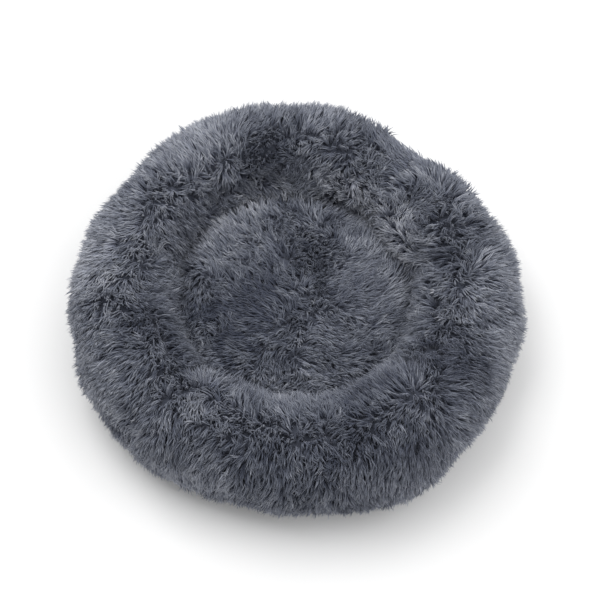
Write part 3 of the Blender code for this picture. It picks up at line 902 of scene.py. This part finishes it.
def pile_finish():
    """Long plush: across the map runs each strand's shade, with the painted light and shade of the strokes,
    and up it the strand from root to tip, with painted shade at the roots and painted light at the tips.
    """
    finish, add = new_finish("blue_grey_pile", 0.62, 0.35, (0.80, 0.84, 1.0))
    where = add("ShaderNodeUVMap", {"uv_map": "OFBake"}).outputs["UV"]
    parts = add("ShaderNodeSeparateXYZ", _0=where)
    streaks = add("ShaderNodeMapping", _0=where, _3=(70.0, 1.2, 1.0)).outputs["Vector"]
    flat_noise = {"noise_dimensions": "2D"}
    streak = add("ShaderNodeTexNoise", flat_noise, Vector=streaks, Scale=1.0, Detail=2.0).outputs["Fac"]
    toned = times(add, ramp(add, parts.outputs["X"], PILE_SHADES), ramp(add, streak, STREAK_TONES))
    # Painted shade towards each strand's root and painted light at its tip
    colour = times(add, toned, ramp(add, parts.outputs["Y"], PAINTED_ROOT_SHADE_TIP_LIGHT))
    return dress(finish, add, colour, (parts.outputs["Y"], 0.85, 0.52), (streak, 0.15, 0.0004))


def backing_finish():
    """The plush's knitted ground: fine grain under a broad unevenness."""
    finish, add = new_finish("plush_backing", 0.9, 0.2)
    place = add("ShaderNodeTexCoord").outputs["Object"]
    fine = noise(add, place, 900.0)
    tones = ((0.3, (0.043, 0.050, 0.073)), (0.7, (0.074, 0.082, 0.110)))
    colour = ramp(add, noise(add, place, 60.0, 3.0), tones)
    return dress(finish, add, colour, (fine, 0.8, 0.98), (fine, 0.6, 0.0006))


def weave(add, place, threads):
    """A plain weave's height: two sets of threads as sine waves, crossed."""
    parts = add("ShaderNodeSeparateXYZ", _0=place)
    product = {"operation": "MULTIPLY"}
    waves = []
    for axis in ("X", "Y"):
        scaled = add("ShaderNodeMath", product, _0=parts.outputs[axis], _1=threads).outputs[0]
        waves.append(add("ShaderNodeMath", {"operation": "SINE"}, _0=scaled).outputs[0])
    return add("ShaderNodeMath", product, _0=waves[0], _1=waves[1]).outputs[0]


def cloth_finish(name, dark, light, roughness, threads, sheen=0.15, deep=0.0002):
    """A woven cloth whose colour, roughness and relief follow its threads and a broad unevenness."""
    finish, add = new_finish(name, roughness, sheen)
    height = weave(add, add("ShaderNodeUVMap", {"uv_map": "cloth"}).outputs["UV"], threads)
    broad = noise(add, add("ShaderNodeTexCoord").outputs["Object"], 45.0, 4.0)
    mixed = blended(add, height, 0.18, broad)
    colour = ramp(add, mixed, ((0.25, dark), (0.75, light)))
    return dress(finish, add, colour, (mixed, roughness + 0.08, roughness - 0.08), (height, 0.7, deep))


def fibrous_finish(name, dark, light, roughness, scale, deep):
    """Bonded or loose fibre: twisted noise for the strands, over a broad unevenness."""
    finish, add = new_finish(name, roughness, 0.25)
    place = add("ShaderNodeTexCoord").outputs["Object"]
    twisted = noise(add, place, scale, 5.0, Distortion=2.5)
    mixed = blended(add, twisted, 0.5, noise(add, place, scale / 12.0))
    halved = add("ShaderNodeMath", {"operation": "MULTIPLY"}, _0=mixed, _1=0.66).outputs[0]
    colour = ramp(add, halved, ((0.3, dark), (0.7, light)))
    return dress(finish, add, colour, (twisted, roughness - 0.08, roughness + 0.05), (twisted, 0.5, deep))


def moulded_finish(name, dark, light, roughness, metallic=0.0, scale=400.0):
    """Moulded or cast: a faint mottling in colour and gloss, and fine scratches in the relief."""
    finish, add = new_finish(name, roughness, 0.0, metallic=metallic)
    place = add("ShaderNodeTexCoord").outputs["Object"]
    mottle = noise(add, place, scale, 3.0)
    along = add("ShaderNodeMapping", _0=place, _3=(300.0, 4000.0, 4000.0)).outputs["Vector"]
    colour = ramp(add, mottle, ((0.3, dark), (0.7, light)))
    rough = (mottle, roughness - 0.08, roughness + 0.12)
    return dress(finish, add, colour, rough, (noise(add, along, 1.0), 0.15, 0.00005))


# ---------------------------------------------------------------- the cover

def turn_columns(first, last):
    """The columns of the ring from one turn round to another, both ends included."""
    start = round(first / 360.0 * RING_COLUMNS)
    count = round((last - first) / 360.0 * RING_COLUMNS)
    return (start + np.arange(count + 1)) % RING_COLUMNS


def bolster_covers(sheet, finish):
    """The two strips of the bolster's cover, each from one cross seam round to the other."""
    arch = sheet[:ARCH_ROWS]
    strips = {}
    for name, node, first in (
        ("bolster_cover_back_left", "bolster_fur_back_left", CROSS_SEAMS[0]),
        ("bolster_cover_front_right", "bolster_fur_front_right", CROSS_SEAMS[1]),
    ):
        part = arch[:, turn_columns(first, first + 180.0)]
        rows, columns = part.shape[:2]
        maps = {"cloth": grid_map(rows, columns, ARCH_ROWS * ROW_STEP, COVER_FLAT[1])}
        mesh = mesh_of(name, part.reshape(-1, 3), sheet_faces(rows, columns), maps)
        strips[node] = thicken(add_piece(name, mesh, finish, [node]), BACKING_SHEET)
    return strips


def centre_cover(sheet, finish):
    """The backing of the centre panel, with its thickness."""
    count = PAD_CELLS + 1
    maps = {"cloth": grid_map(count, count, 2 * CENTRE_RADIUS, 2 * CENTRE_RADIUS)}
    mesh = mesh_of("centre_cover", sheet.reshape(-1, 3), sheet_faces(count, count), maps)
    piece = add_piece("centre_cover", mesh, finish, ["centre_fur_panel"])
    return thicken(piece, BACKING_SHEET)


SECTOR = 45.0  # turn of one piece of the bolster's pile


def bolster_pile(sheet, overs, finish):
    """The bolster's pile, in eight pieces so that each stays a size that its file keeps whole."""
    random = np.random.default_rng(20)
    *grown, turn = bolster_locks(sheet, overs, random)
    pieces = {node: [] for node in COVERS}
    for number in range(8):
        first = CROSS_SEAMS[0] + number * SECTOR
        inside = (turn - first) % 360.0 < SECTOR
        points, faces, corners = grow(*[values[inside] for values in grown], random)
        name = f"bolster_pile_{number + 1}"
        mesh = mesh_of(name, points, faces, {"OFBake": corners})
        node = "bolster_fur_back_left" if number < 4 else "bolster_fur_front_right"
        pieces[node].append(add_piece(name, mesh, finish))
    return pieces


def centre_pile(sheet, finish):
    """The centre's pile, in a rear and a front half."""
    random = np.random.default_rng(40)
    grown = centre_locks(sheet, random)
    pieces = []
    for name, inside in (
        ("centre_pile_rear", grown[0][:, 1] >= 0.0),
        ("centre_pile_front", grown[0][:, 1] < 0.0),
    ):
        points, faces, corners = grow(*[values[inside] for values in grown], random)
        mesh = mesh_of(name, points, faces, {"OFBake": corners})
        pieces.append(add_piece(name, mesh, finish))
    return pieces


# ---------------------------------------------------------------- the inserts

CASING_GAP = 0.0014  # between the cover's inner face and the casing
CASING_SHEET = 0.0008
FILL_GAP = 0.0012  # between the casing's inner face and the fibre
PAD_GAP = 0.0015  # inside the CAD casing's outer face


def crumpled(points, cell, depth, seed):
    """How far a loose cloth sinks at its creases: deepest where a smooth random number passes through 0."""
    value = drift(points, cell, seed, 1)[..., 0]
    return depth * np.exp(-np.abs(value) * 7.0)


def inset_ring(sheet, depth, cell, creases, seed):
    """The stuffed ring's surface moved inwards by a depth and by its creases, and kept above the zip."""
    moved = sheet - closed_tube_normals(sheet) * (depth + crumpled(sheet, cell, creases, seed))[..., None]
    lowest = INSERT_LOW[2] + depth - BACKING_SHEET
    moved[..., 2] = np.maximum(moved[..., 2], lowest)
    return moved


def ring_insert(sheet, casing_cloth, fibre):
    """The bolster's insert: a creased non-woven tube, and the fibre that fills it, lumpy under the cloth."""
    sheet = sheet[:, ::2]
    faces = sheet_faces(*sheet.shape[:2], closed_rows=True, closed_columns=True)
    depth = BACKING_SHEET + CASING_GAP
    shape = inset_ring(sheet, depth, 0.028, 0.0011, 61)
    mesh = mesh_of("ring_casing", shape.reshape(-1, 3), faces)
    casing = add_piece("ring_casing", mesh, casing_cloth, ["ring_insert_casing"])
    thicken(casing, CASING_SHEET)
    shape = inset_ring(sheet, depth + CASING_SHEET + FILL_GAP, 0.035, 0.0030, 63)
    mesh = mesh_of("ring_fibre", shape.reshape(-1, 3), faces)
    fill = add_piece("ring_fibre", mesh, fibre, ["ring_insert_fill"])
    return casing, fill


def rim_of(cells):
    """The indices of a square grid's outer points, anticlockwise from its first corner."""
    grid = np.arange((cells + 1) ** 2).reshape(cells + 1, cells + 1)
    return np.concatenate([grid[0, :-1], grid[:-1, -1], grid[-1, :0:-1], grid[:0:-1, 0]])


def closed_pad(top, under, bulge, side_rows=7):
    """A pad as one closed surface: a top and an under sheet, and a side between their rims.

    The side's points go straight from the lower rim to the upper one, and stand out by half a sine wave.
    """
    cells = top.shape[0] - 1
    rim = rim_of(cells)
    upper, lower = top.reshape(-1, 3), under.reshape(-1, 3)
    share = np.linspace(0.0, 1.0, side_rows + 2)[1:-1, None, None]
    side = lower[rim] * (1 - share) + upper[rim] * share
    outwards = unit(lower[rim] * (1.0, 1.0, 0.0))
    side = side + outwards * bulge * np.sin(np.pi * share)
    count = len(upper)
    first = count + np.arange(side_rows * len(rim)).reshape(side_rows, -1)
    ladder = np.concatenate([rim[None] + count + first.size, first, rim[None]])
    faces = sheet_faces(cells + 1, cells + 1)
    wall = ladder.ravel()[sheet_faces(*ladder.shape, closed_columns=True)]
    all_faces = np.concatenate([faces, wall, faces[:, ::-1] + count + first.size])
    return np.concatenate([upper, side.reshape(-1, 3), lower]), all_faces


def pad_shape(sheet, depth, creases, seed):
    """The pad's top, which follows the centre panel, and its under sheet, flat with a round edge."""
    x, y = disc_grid(PAD_CELLS)
    share = np.hypot(x, y)
    reach = PAD_HIGH[0] - depth
    top = np.stack([x * reach, y * reach, sheet[..., 2] - BACKING_SHEET - CASING_GAP - depth], axis=-1)
    top[..., 2] -= crumpled(top, 0.03, creases, seed) + 0.006 * share**10
    under = np.stack([x * reach, y * reach, PAD_LOW[2] + depth + 0.010 * share**10], axis=-1)
    under[..., 2] += crumpled(under, 0.03, creases, seed + 1)
    return top, under


def pad_insert(sheet, casing_cloth, fibre):
    """The centre's insert: a creased non-woven pad, and the fibre that fills it."""
    points, faces = closed_pad(*pad_shape(sheet, PAD_GAP, 0.0010, 71), 0.0012)
    mesh = mesh_of("pad_casing", points, faces)
    casing = add_piece("pad_casing", mesh, casing_cloth, ["pad_insert_casing"])
    thicken(casing, CASING_SHEET)
    points, faces = closed_pad(*pad_shape(sheet, PAD_GAP + CASING_SHEET + FILL_GAP, 0.0020, 73), 0.0)
    mesh = mesh_of("pad_fibre", points, faces)
    fill = add_piece("pad_fibre", mesh, fibre, ["pad_insert_fill"])
    return casing, fill


# ---------------------------------------------------------------- the base

HEM_HALF = PANEL_LOW[1]  # from the middle of the zip to a panel's folded edge
HEM_TOP = PANEL_HIGH[2]
HEM_LEDGE = 0.0060
HEM_RAMP = 0.0120
BASE_CLOTH = 0.0010
DOT_RADIUS = 0.0011
DOT_SPACING = 0.0084
DOT_HEIGHT = 0.0005
STITCH = 0.0032
STITCH_GAP = 0.0008
THREAD = 0.00028  # radius of the sewing thread


def base_height(y, x):
    """The height of a base panel's lower face: raised along the zip, then sloping down to the floor."""
    from_zip = np.abs(y)
    ledge = HEM_HALF + HEM_LEDGE
    share = np.clip((from_zip - ledge) / HEM_RAMP, 0.0, 1.0)
    slope = 1.0 - share * share * (3.0 - 2.0 * share)
    lowest, highest = DOT_HEIGHT, HEM_TOP - BASE_CLOTH
    points = np.stack(np.broadcast_arrays(x, y, 0.0), axis=-1)
    slack = 0.0005 * np.maximum(drift(points, 0.03, 81, 1)[..., 0], 0.0) * share
    return lowest + (highest - lowest) * slope + slack


def base_panel(node, side, cloth):
    """A D-shaped half of the base: columns across the zip whose rows run from the hem out to the rim."""
    columns, rows = 121, 64
    last = math.degrees(math.acos(1.03 * HEM_HALF / BASE_RADIUS))
    x = BASE_RADIUS * np.sin(radians(np.linspace(-last, last, columns)))[None, :]
    share = (np.linspace(0.0, 1.0, rows) ** 1.8)[:, None]
    y = HEM_HALF + (np.sqrt(BASE_RADIUS**2 - x**2) - HEM_HALF) * share
    sheet = np.stack(np.broadcast_arrays(x, side * y, base_height(y, x)), axis=-1)
    faces = sheet_faces(rows, columns)
    corners = sheet[..., :2].reshape(-1, 2)[faces]
    if side > 0:
        faces, corners = faces[:, ::-1], corners[:, ::-1]
    mesh = mesh_of("base_" + node.split("_")[-1], sheet.reshape(-1, 3), faces, {"cloth": corners})
    return thicken(add_piece(mesh.name, mesh, cloth, [node]), BASE_CLOTH)


def domes(centres, radius, height, sides=6):
    """Low domes that hang from these centres: two rings and a tip each, closed by a face at the top."""
    angle = np.arange(sides) * 2.0 * np.pi / sides
    circle = np.stack([np.cos(angle), np.sin(angle), np.zeros(sides)], axis=-1)
    down = np.array((0.0, 0.0, -height))
    shape = np.concatenate([circle * radius, circle * radius * 0.72 + down * 0.7, down[None], [(0, 0, 0)]])
    faces = []
    for corner in range(sides):
        other = (corner + 1) % sides
        faces += [(other, corner, corner + sides), (other, corner + sides, other + sides)]
        faces += [(other + sides, corner + sides, 2 * sides), (corner, other, 2 * sides + 1)]
    faces = np.array(faces)[None] + (np.arange(len(centres)) * len(shape))[:, None, None]
    return (centres[:, None, :] + shape[None]).reshape(-1, 3), faces.reshape(-1, 3)


def grip_dots(node, side, rubber):
    """Staggered rows of rubber dots printed on a base panel, each as deep as lets it touch the floor."""
    line = np.arange(-BASE_RADIUS, BASE_RADIUS, DOT_SPACING)
    x, y = np.meshgrid(line, np.arange(HEM_HALF + HEM_LEDGE + HEM_RAMP, BASE_RADIUS, DOT_SPACING * 0.866))
    x = x + DOT_SPACING / 2 * (np.arange(len(y)) % 2)[:, None]
    kept = np.hypot(x, y) < BASE_RADIUS - 0.008
    x, y = x[kept], y[kept]
    centres = np.stack([x, side * y, base_height(y, x) + 0.0002], axis=-1)
    points, faces = domes(centres, DOT_RADIUS, DOT_HEIGHT + 0.0001)
    points[:, 2] = np.maximum(points[:, 2], 0.0)
    name = "grip_dots_" + node.split("_")[-1]
    return add_piece(name, mesh_of(name, points, faces), rubber)


def stitches(name, starts, ends, thread_finish):
    """A row of stitches: each a short bowed thread of five rings of six points, from a start to an end."""
    down = np.tile((0.0, 0.0, -1.0), (len(starts), 1))
    share = np.array((0.0, 0.2, 0.5, 0.8, 1.0))[None, :, None]
    sag = np.array((-0.6, 0.5, 1.0, 0.5, -0.6))[None, :, None] * THREAD
    centre = starts[:, None] * (1 - share) + ends[:, None] * share + down[:, None] * sag
    heading = unit(ends - starts)[:, None, None]
    flank = unit(np.cross(heading, down[:, None, None]))
    angle = (np.arange(6) * np.pi / 3.0)[None, None, :, None]
    ring = flank * np.cos(angle) + down[:, None, None] * np.sin(angle)
    size = np.array((0.55, 1.0, 1.0, 1.0, 0.55))[None, :, None, None] * THREAD
    points = centre[:, :, None] + ring * size
    count, rings, sides = points.shape[:3]
    faces = capped_tube_faces(rings, sides)[None] + (np.arange(count) * rings * sides)[:, None, None]
    mesh = mesh_of(name, points.reshape(-1, 3), faces.reshape(-1, 3))
    return add_piece(name, mesh, thread_finish)


def rim_stitches(thread):
    """The seam round the base, a little inside the rim."""
    radius = BASE_RADIUS - 0.0045
    count = round(2 * np.pi * radius / (STITCH + STITCH_GAP))
    turn = np.arange(count) * 360.0 / count
    kept = np.abs(radius * np.sin(radians(turn))) > HEM_HALF + 0.002
    turn = turn[kept]
    step = math.degrees(STITCH / radius)
    ends = []
    for angle in (turn, turn + step):
        place = around(radius, angle, 0.0)
        place[:, 2] = np.maximum(base_height(place[:, 1], place[:, 0]) - 0.0001, 2.2 * THREAD)
        ends.append(place)
    return stitches("base_seam_stitches", *ends, thread)


def hem_stitches(thread):
    """The two rows that hold each panel's hem to its zip tape, as two pieces."""
    made = []
    for name, side in (("hem_stitches_front", -1.0), ("hem_stitches_rear", 1.0)):
        starts = []
        for from_zip in (HEM_HALF + 0.0015, HEM_HALF + 0.0045):
            reach = math.sqrt(BASE_RADIUS**2 - from_zip**2) - 0.006
            x = np.arange(-reach, reach, STITCH + STITCH_GAP)
            height = np.full_like(x, HEM_TOP - BASE_CLOTH - 0.0001)
            starts.append(np.stack([x, np.full_like(x, side * from_zip), height], axis=-1))
        starts = np.concatenate(starts)
        made.append(stitches(name, starts, starts + (STITCH, 0.0, 0.0), thread))
    return made


# ---------------------------------------------------------------- the zip

COIL_WIRE = 0.00036  # radius of the nylon wire
COIL_PITCH = 0.00135
COIL_STEPS = 7  # of the wire in one turn
COIL_SIDES = 5
COIL_REACH = 0.00032
TAPE_REACH = 0.00062


def zip_coil(node, side, nylon):
    """A nylon coil as one wire: an oval helix along X with a five-sided section.

    It fills its CAD rod and reaches a little further in, half a pitch out of step with the other coil, so
    that the two look closed and the slider's post still passes between them.
    """
    low, high = box_of(node)
    near = min(abs(low[1]), abs(high[1])) - COIL_REACH
    far = max(abs(low[1]), abs(high[1]))
    wide = (far - near) / 2 - COIL_WIRE
    tall = (high[2] - low[2]) / 2 - COIL_WIRE
    turns = math.floor((high[0] - low[0] - 4 * COIL_WIRE) / COIL_PITCH) - 1
    angle = np.linspace(0.0, turns * 2.0 * np.pi, turns * COIL_STEPS + 1)
    x = low[0] + 2 * COIL_WIRE + (angle / (2 * np.pi) + (0.5 if side > 0 else 0.0)) * COIL_PITCH
    middle = side * (near + far) / 2
    height = (low[2] + high[2]) / 2 + tall * np.sin(angle)
    path = np.stack([x, middle + side * wide * np.cos(angle), height], axis=-1)
    heading = unit(np.gradient(path, axis=0))
    first = unit(np.cross(heading, (1.0, 0.0, 0.0)))
    second = np.cross(heading, first)
    round_it = np.arange(COIL_SIDES) * 2.0 * np.pi / COIL_SIDES
    ring = first[:, None] * np.cos(round_it)[:, None] + second[:, None] * np.sin(round_it)[:, None]
    points = path[:, None] + ring * COIL_WIRE
    mesh = mesh_of(node, points.reshape(-1, 3), capped_tube_faces(len(path), COIL_SIDES))
    return add_piece(node.replace("zip_coil", "coil"), mesh, nylon, [node])


def zip_tape(node, side, cloth):
    """A woven tape with a corded edge beside the coil and a faint ripple along its length."""
    low, high = box_of(node)
    x = np.linspace(low[0], high[0], 200)[None, :]
    share = np.concatenate([np.linspace(0.0, 0.2, 8), np.linspace(0.24, 1.0, 12)])[:, None]
    near, far = (low[1] - TAPE_REACH, high[1]) if side > 0 else (high[1] + TAPE_REACH, low[1])
    y = near + (far - near) * share
    cord = 0.00010 * hump(share - 0.09, 0.05)
    ripple = 0.00004 * np.sin(x * 900.0) * (1.0 - share)
    z = high[2] - 0.0001 + ripple - cord
    sheet = np.stack(np.broadcast_arrays(x, y, z), axis=-1)
    faces = sheet_faces(*sheet.shape[:2])
    corners = sheet[..., :2].reshape(-1, 2)[faces]
    if side < 0:
        faces, corners = faces[:, ::-1], corners[:, ::-1]
    name = node.replace("zip_tape", "tape")
    mesh = mesh_of(name, sheet.reshape(-1, 3), faces, {"cloth": corners})
    piece = thicken(add_piece(name, mesh, cloth, [node]), (high[2] - low[2]) * 0.7)
    return piece


def zip_metalwork(metal):
    """The slider, pull and stops keep their CAD shapes and get a cast zinc finish."""
    for node in ("zip_slider", "zip_pull", "zip_bottom_stop", "zip_top_stop_front", "zip_top_stop_rear"):
        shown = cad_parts[node]
        shown.data.materials.clear()
        shown.data.materials.append(metal)


# ---------------------------------------------------------------- the care label

def care_label(cloth):
    """A blank satin ribbon sewn into the base seam, folded double, with its loose end a little curled."""
    turn, length, width = LABEL_TURN, LABEL_LENGTH, LABEL_WIDTH
    near = BASE_RADIUS + 0.0008
    out = np.linspace(0.0, 1.0, 28)[:, None]
    across = np.linspace(-0.5, 0.5, 24)[None, :]
    wave = 0.00025 * np.sin(out * 5.0 + across * 4.0) * out
    sheet = around(near + out * length, turn, 0.0)
    sideways = around(1.0, turn + 90.0, 0.0)
    sheet = sheet + sideways * (across * width)[..., None]
    sheet[..., 2] = LABEL_HIGH[2] + 0.0009 + 0.0012 * out**3 + wave
    folded = sheet.copy()
    folded[..., 2] -= 0.0005 + 0.0004 * np.sin(np.pi * out)
    whole = np.concatenate([sheet, folded[::-1]])
    faces = sheet_faces(*whole.shape[:2])
    mesh = mesh_of("label", whole.reshape(-1, 3), faces, {"cloth": grid_map(56, 24, 2 * length, width)})
    piece = thicken(add_piece("label", mesh, cloth, ["care_label"]), 0.0002)
    return piece


# ---------------------------------------------------------------- the studio

CAMERA_ELEVATION = 60.5
CAMERA_DISTANCE = 1.52
CAMERA_LENS = 68.5
AIM = (0.0060, -0.0045)  # from the bed's middle to the view's, along the picture's right and up


def camera():
    """The camera, in front of the bed and above it."""
    lens = bpy.data.cameras.new("camera")
    lens.lens = CAMERA_LENS
    lens.clip_start, lens.clip_end = 0.05, 20.0
    made = bpy.data.objects.new("camera", lens)
    bpy.context.scene.collection.objects.link(made)
    pitch = radians(CAMERA_ELEVATION)
    back = np.array((0.0, -np.cos(pitch), np.sin(pitch)))
    up = np.array((0.0, np.sin(pitch), np.cos(pitch)))
    middle = np.array((0.0, 0.0, TOP_HEIGHT / 2)) + np.array((AIM[0], 0.0, 0.0)) + up * AIM[1]
    made.location = middle + back * CAMERA_DISTANCE
    made.rotation_euler = (math.radians(90.0 - CAMERA_ELEVATION), 0.0, 0.0)
    bpy.context.scene.camera = made


def soft_light(name, place, size, power, colour=(1.0, 1.0, 1.0)):
    """A square soft light at place, turned towards the bed."""
    light = bpy.data.lights.new(name, "AREA")
    light.shape = "SQUARE"
    light.size = size
    light.energy = power
    light.color = colour
    made = bpy.data.objects.new(name, light)
    bpy.context.scene.collection.objects.link(made)
    made.location = place
    aim = -unit(np.array(place, float) - np.array((0.0, 0.0, 0.08)))
    made.rotation_euler = (
        math.acos(-aim[2]),
        0.0,
        math.atan2(aim[1], aim[0]) - math.pi / 2,
    )
    return made


def studio():
    """A pale floor, an even white surround and three soft lights."""
    finish, add = new_finish("studio_floor", 0.9)
    faint = noise(add, add("ShaderNodeTexCoord").outputs["Object"], 3.0)
    colour = ramp(add, faint, ((0.3, (0.86, 0.86, 0.86)), (0.7, (0.89, 0.89, 0.89))))
    finish.node_tree.links.new(colour, finish.node_tree.nodes["Principled BSDF"].inputs["Base Color"])
    side = 6.0
    corners = [(-side, -side, 0), (side, -side, 0), (side, side, 0), (-side, side, 0)]
    floor = bpy.data.objects.new("studio_floor", mesh_of("studio_floor", corners, [[0, 1, 2, 3]]))
    floor.data.materials.append(finish)
    bpy.context.scene.collection.objects.link(floor)
    world = bpy.data.worlds.new("studio")
    world.use_nodes = True
    sky = world.node_tree.nodes["Background"]
    sky.inputs["Color"].default_value = (1.0, 1.0, 1.0, 1.0)
    sky.inputs["Strength"].default_value = 0.55
    bpy.context.scene.world = world
    soft_light("key_light", (-0.9, 0.5, 2.4), 1.6, 30.0)
    soft_light("fill_light", (1.3, -0.6, 2.0), 1.8, 18.0)
    soft_light("top_light", (0.0, 0.4, 2.6), 2.0, 16.0)
    view = bpy.context.scene.view_settings
    view.view_transform = "Standard"


# ---------------------------------------------------------------- the whole bed

def plush_cover(ring, overs, centre):
    """The three plush pieces of the cover, and the pile that stands on them."""
    backing, pile = backing_finish(), pile_finish()
    strips = bolster_covers(ring, backing)
    middle = centre_cover(centre, backing)
    grown = bolster_pile(ring, overs, pile)
    centre_pile(centre, pile)


def base():
    """The two base panels with their grip dots and seams."""
    cloth = cloth_finish("non_slip_cloth", (0.020, 0.021, 0.025), (0.042, 0.044, 0.051), 0.72, 3800.0)
    rubber = moulded_finish("grip_rubber", (0.010, 0.011, 0.012), (0.018, 0.018, 0.020), 0.55)
    thread = fibrous_finish("sewing_thread", (0.040, 0.042, 0.052), (0.085, 0.088, 0.105), 0.6, 3000, 0.0001)
    for node, side in (("base_panel_front", -1.0), ("base_panel_rear", 1.0)):
        panel = base_panel(node, side, cloth)
        dots = grip_dots(node, side, rubber)
    rim_stitches(thread)
    hem_stitches(thread)


def main():
    """Makes the studio and every piece of the bed."""
    camera()
    studio()
    ring, overs = simulated_ring()
    centre = simulated_centre()
    plush_cover(ring, overs, centre)
    bonded = ((0.66, 0.66, 0.64), (0.82, 0.82, 0.80))
    casing_cloth = fibrous_finish("non_woven_casing", *bonded, 0.85, 700, 0.0002)
    fibre = fibrous_finish("polyester_fibre", (0.76, 0.76, 0.75), (0.90, 0.90, 0.89), 0.92, 260, 0.0012)
    ring_insert(ring, casing_cloth, fibre)
    pad_insert(centre, casing_cloth, fibre)
    base()
    woven = ((0.042, 0.045, 0.056), (0.080, 0.084, 0.100))
    tape = cloth_finish("zip_tape_weave", *woven, 0.8, 9000, deep=0.0001)
    nylon = moulded_finish("zip_nylon", (0.036, 0.038, 0.047), (0.062, 0.065, 0.078), 0.38)
    for side, end in ((-1.0, "front"), (1.0, "rear")):
        zip_tape(f"zip_tape_{end}", side, tape)
        zip_coil(f"zip_coil_{end}", side, nylon)
    zinc = ((0.42, 0.43, 0.45), (0.48, 0.49, 0.51))
    zip_metalwork(moulded_finish("cast_zinc", *zinc, 0.34, metallic=1.0, scale=500))
    ribbon = ((0.72, 0.72, 0.71), (0.84, 0.84, 0.83))
    care_label(cloth_finish("label_ribbon", *ribbon, 0.5, 9000, deep=0.00006))


main()
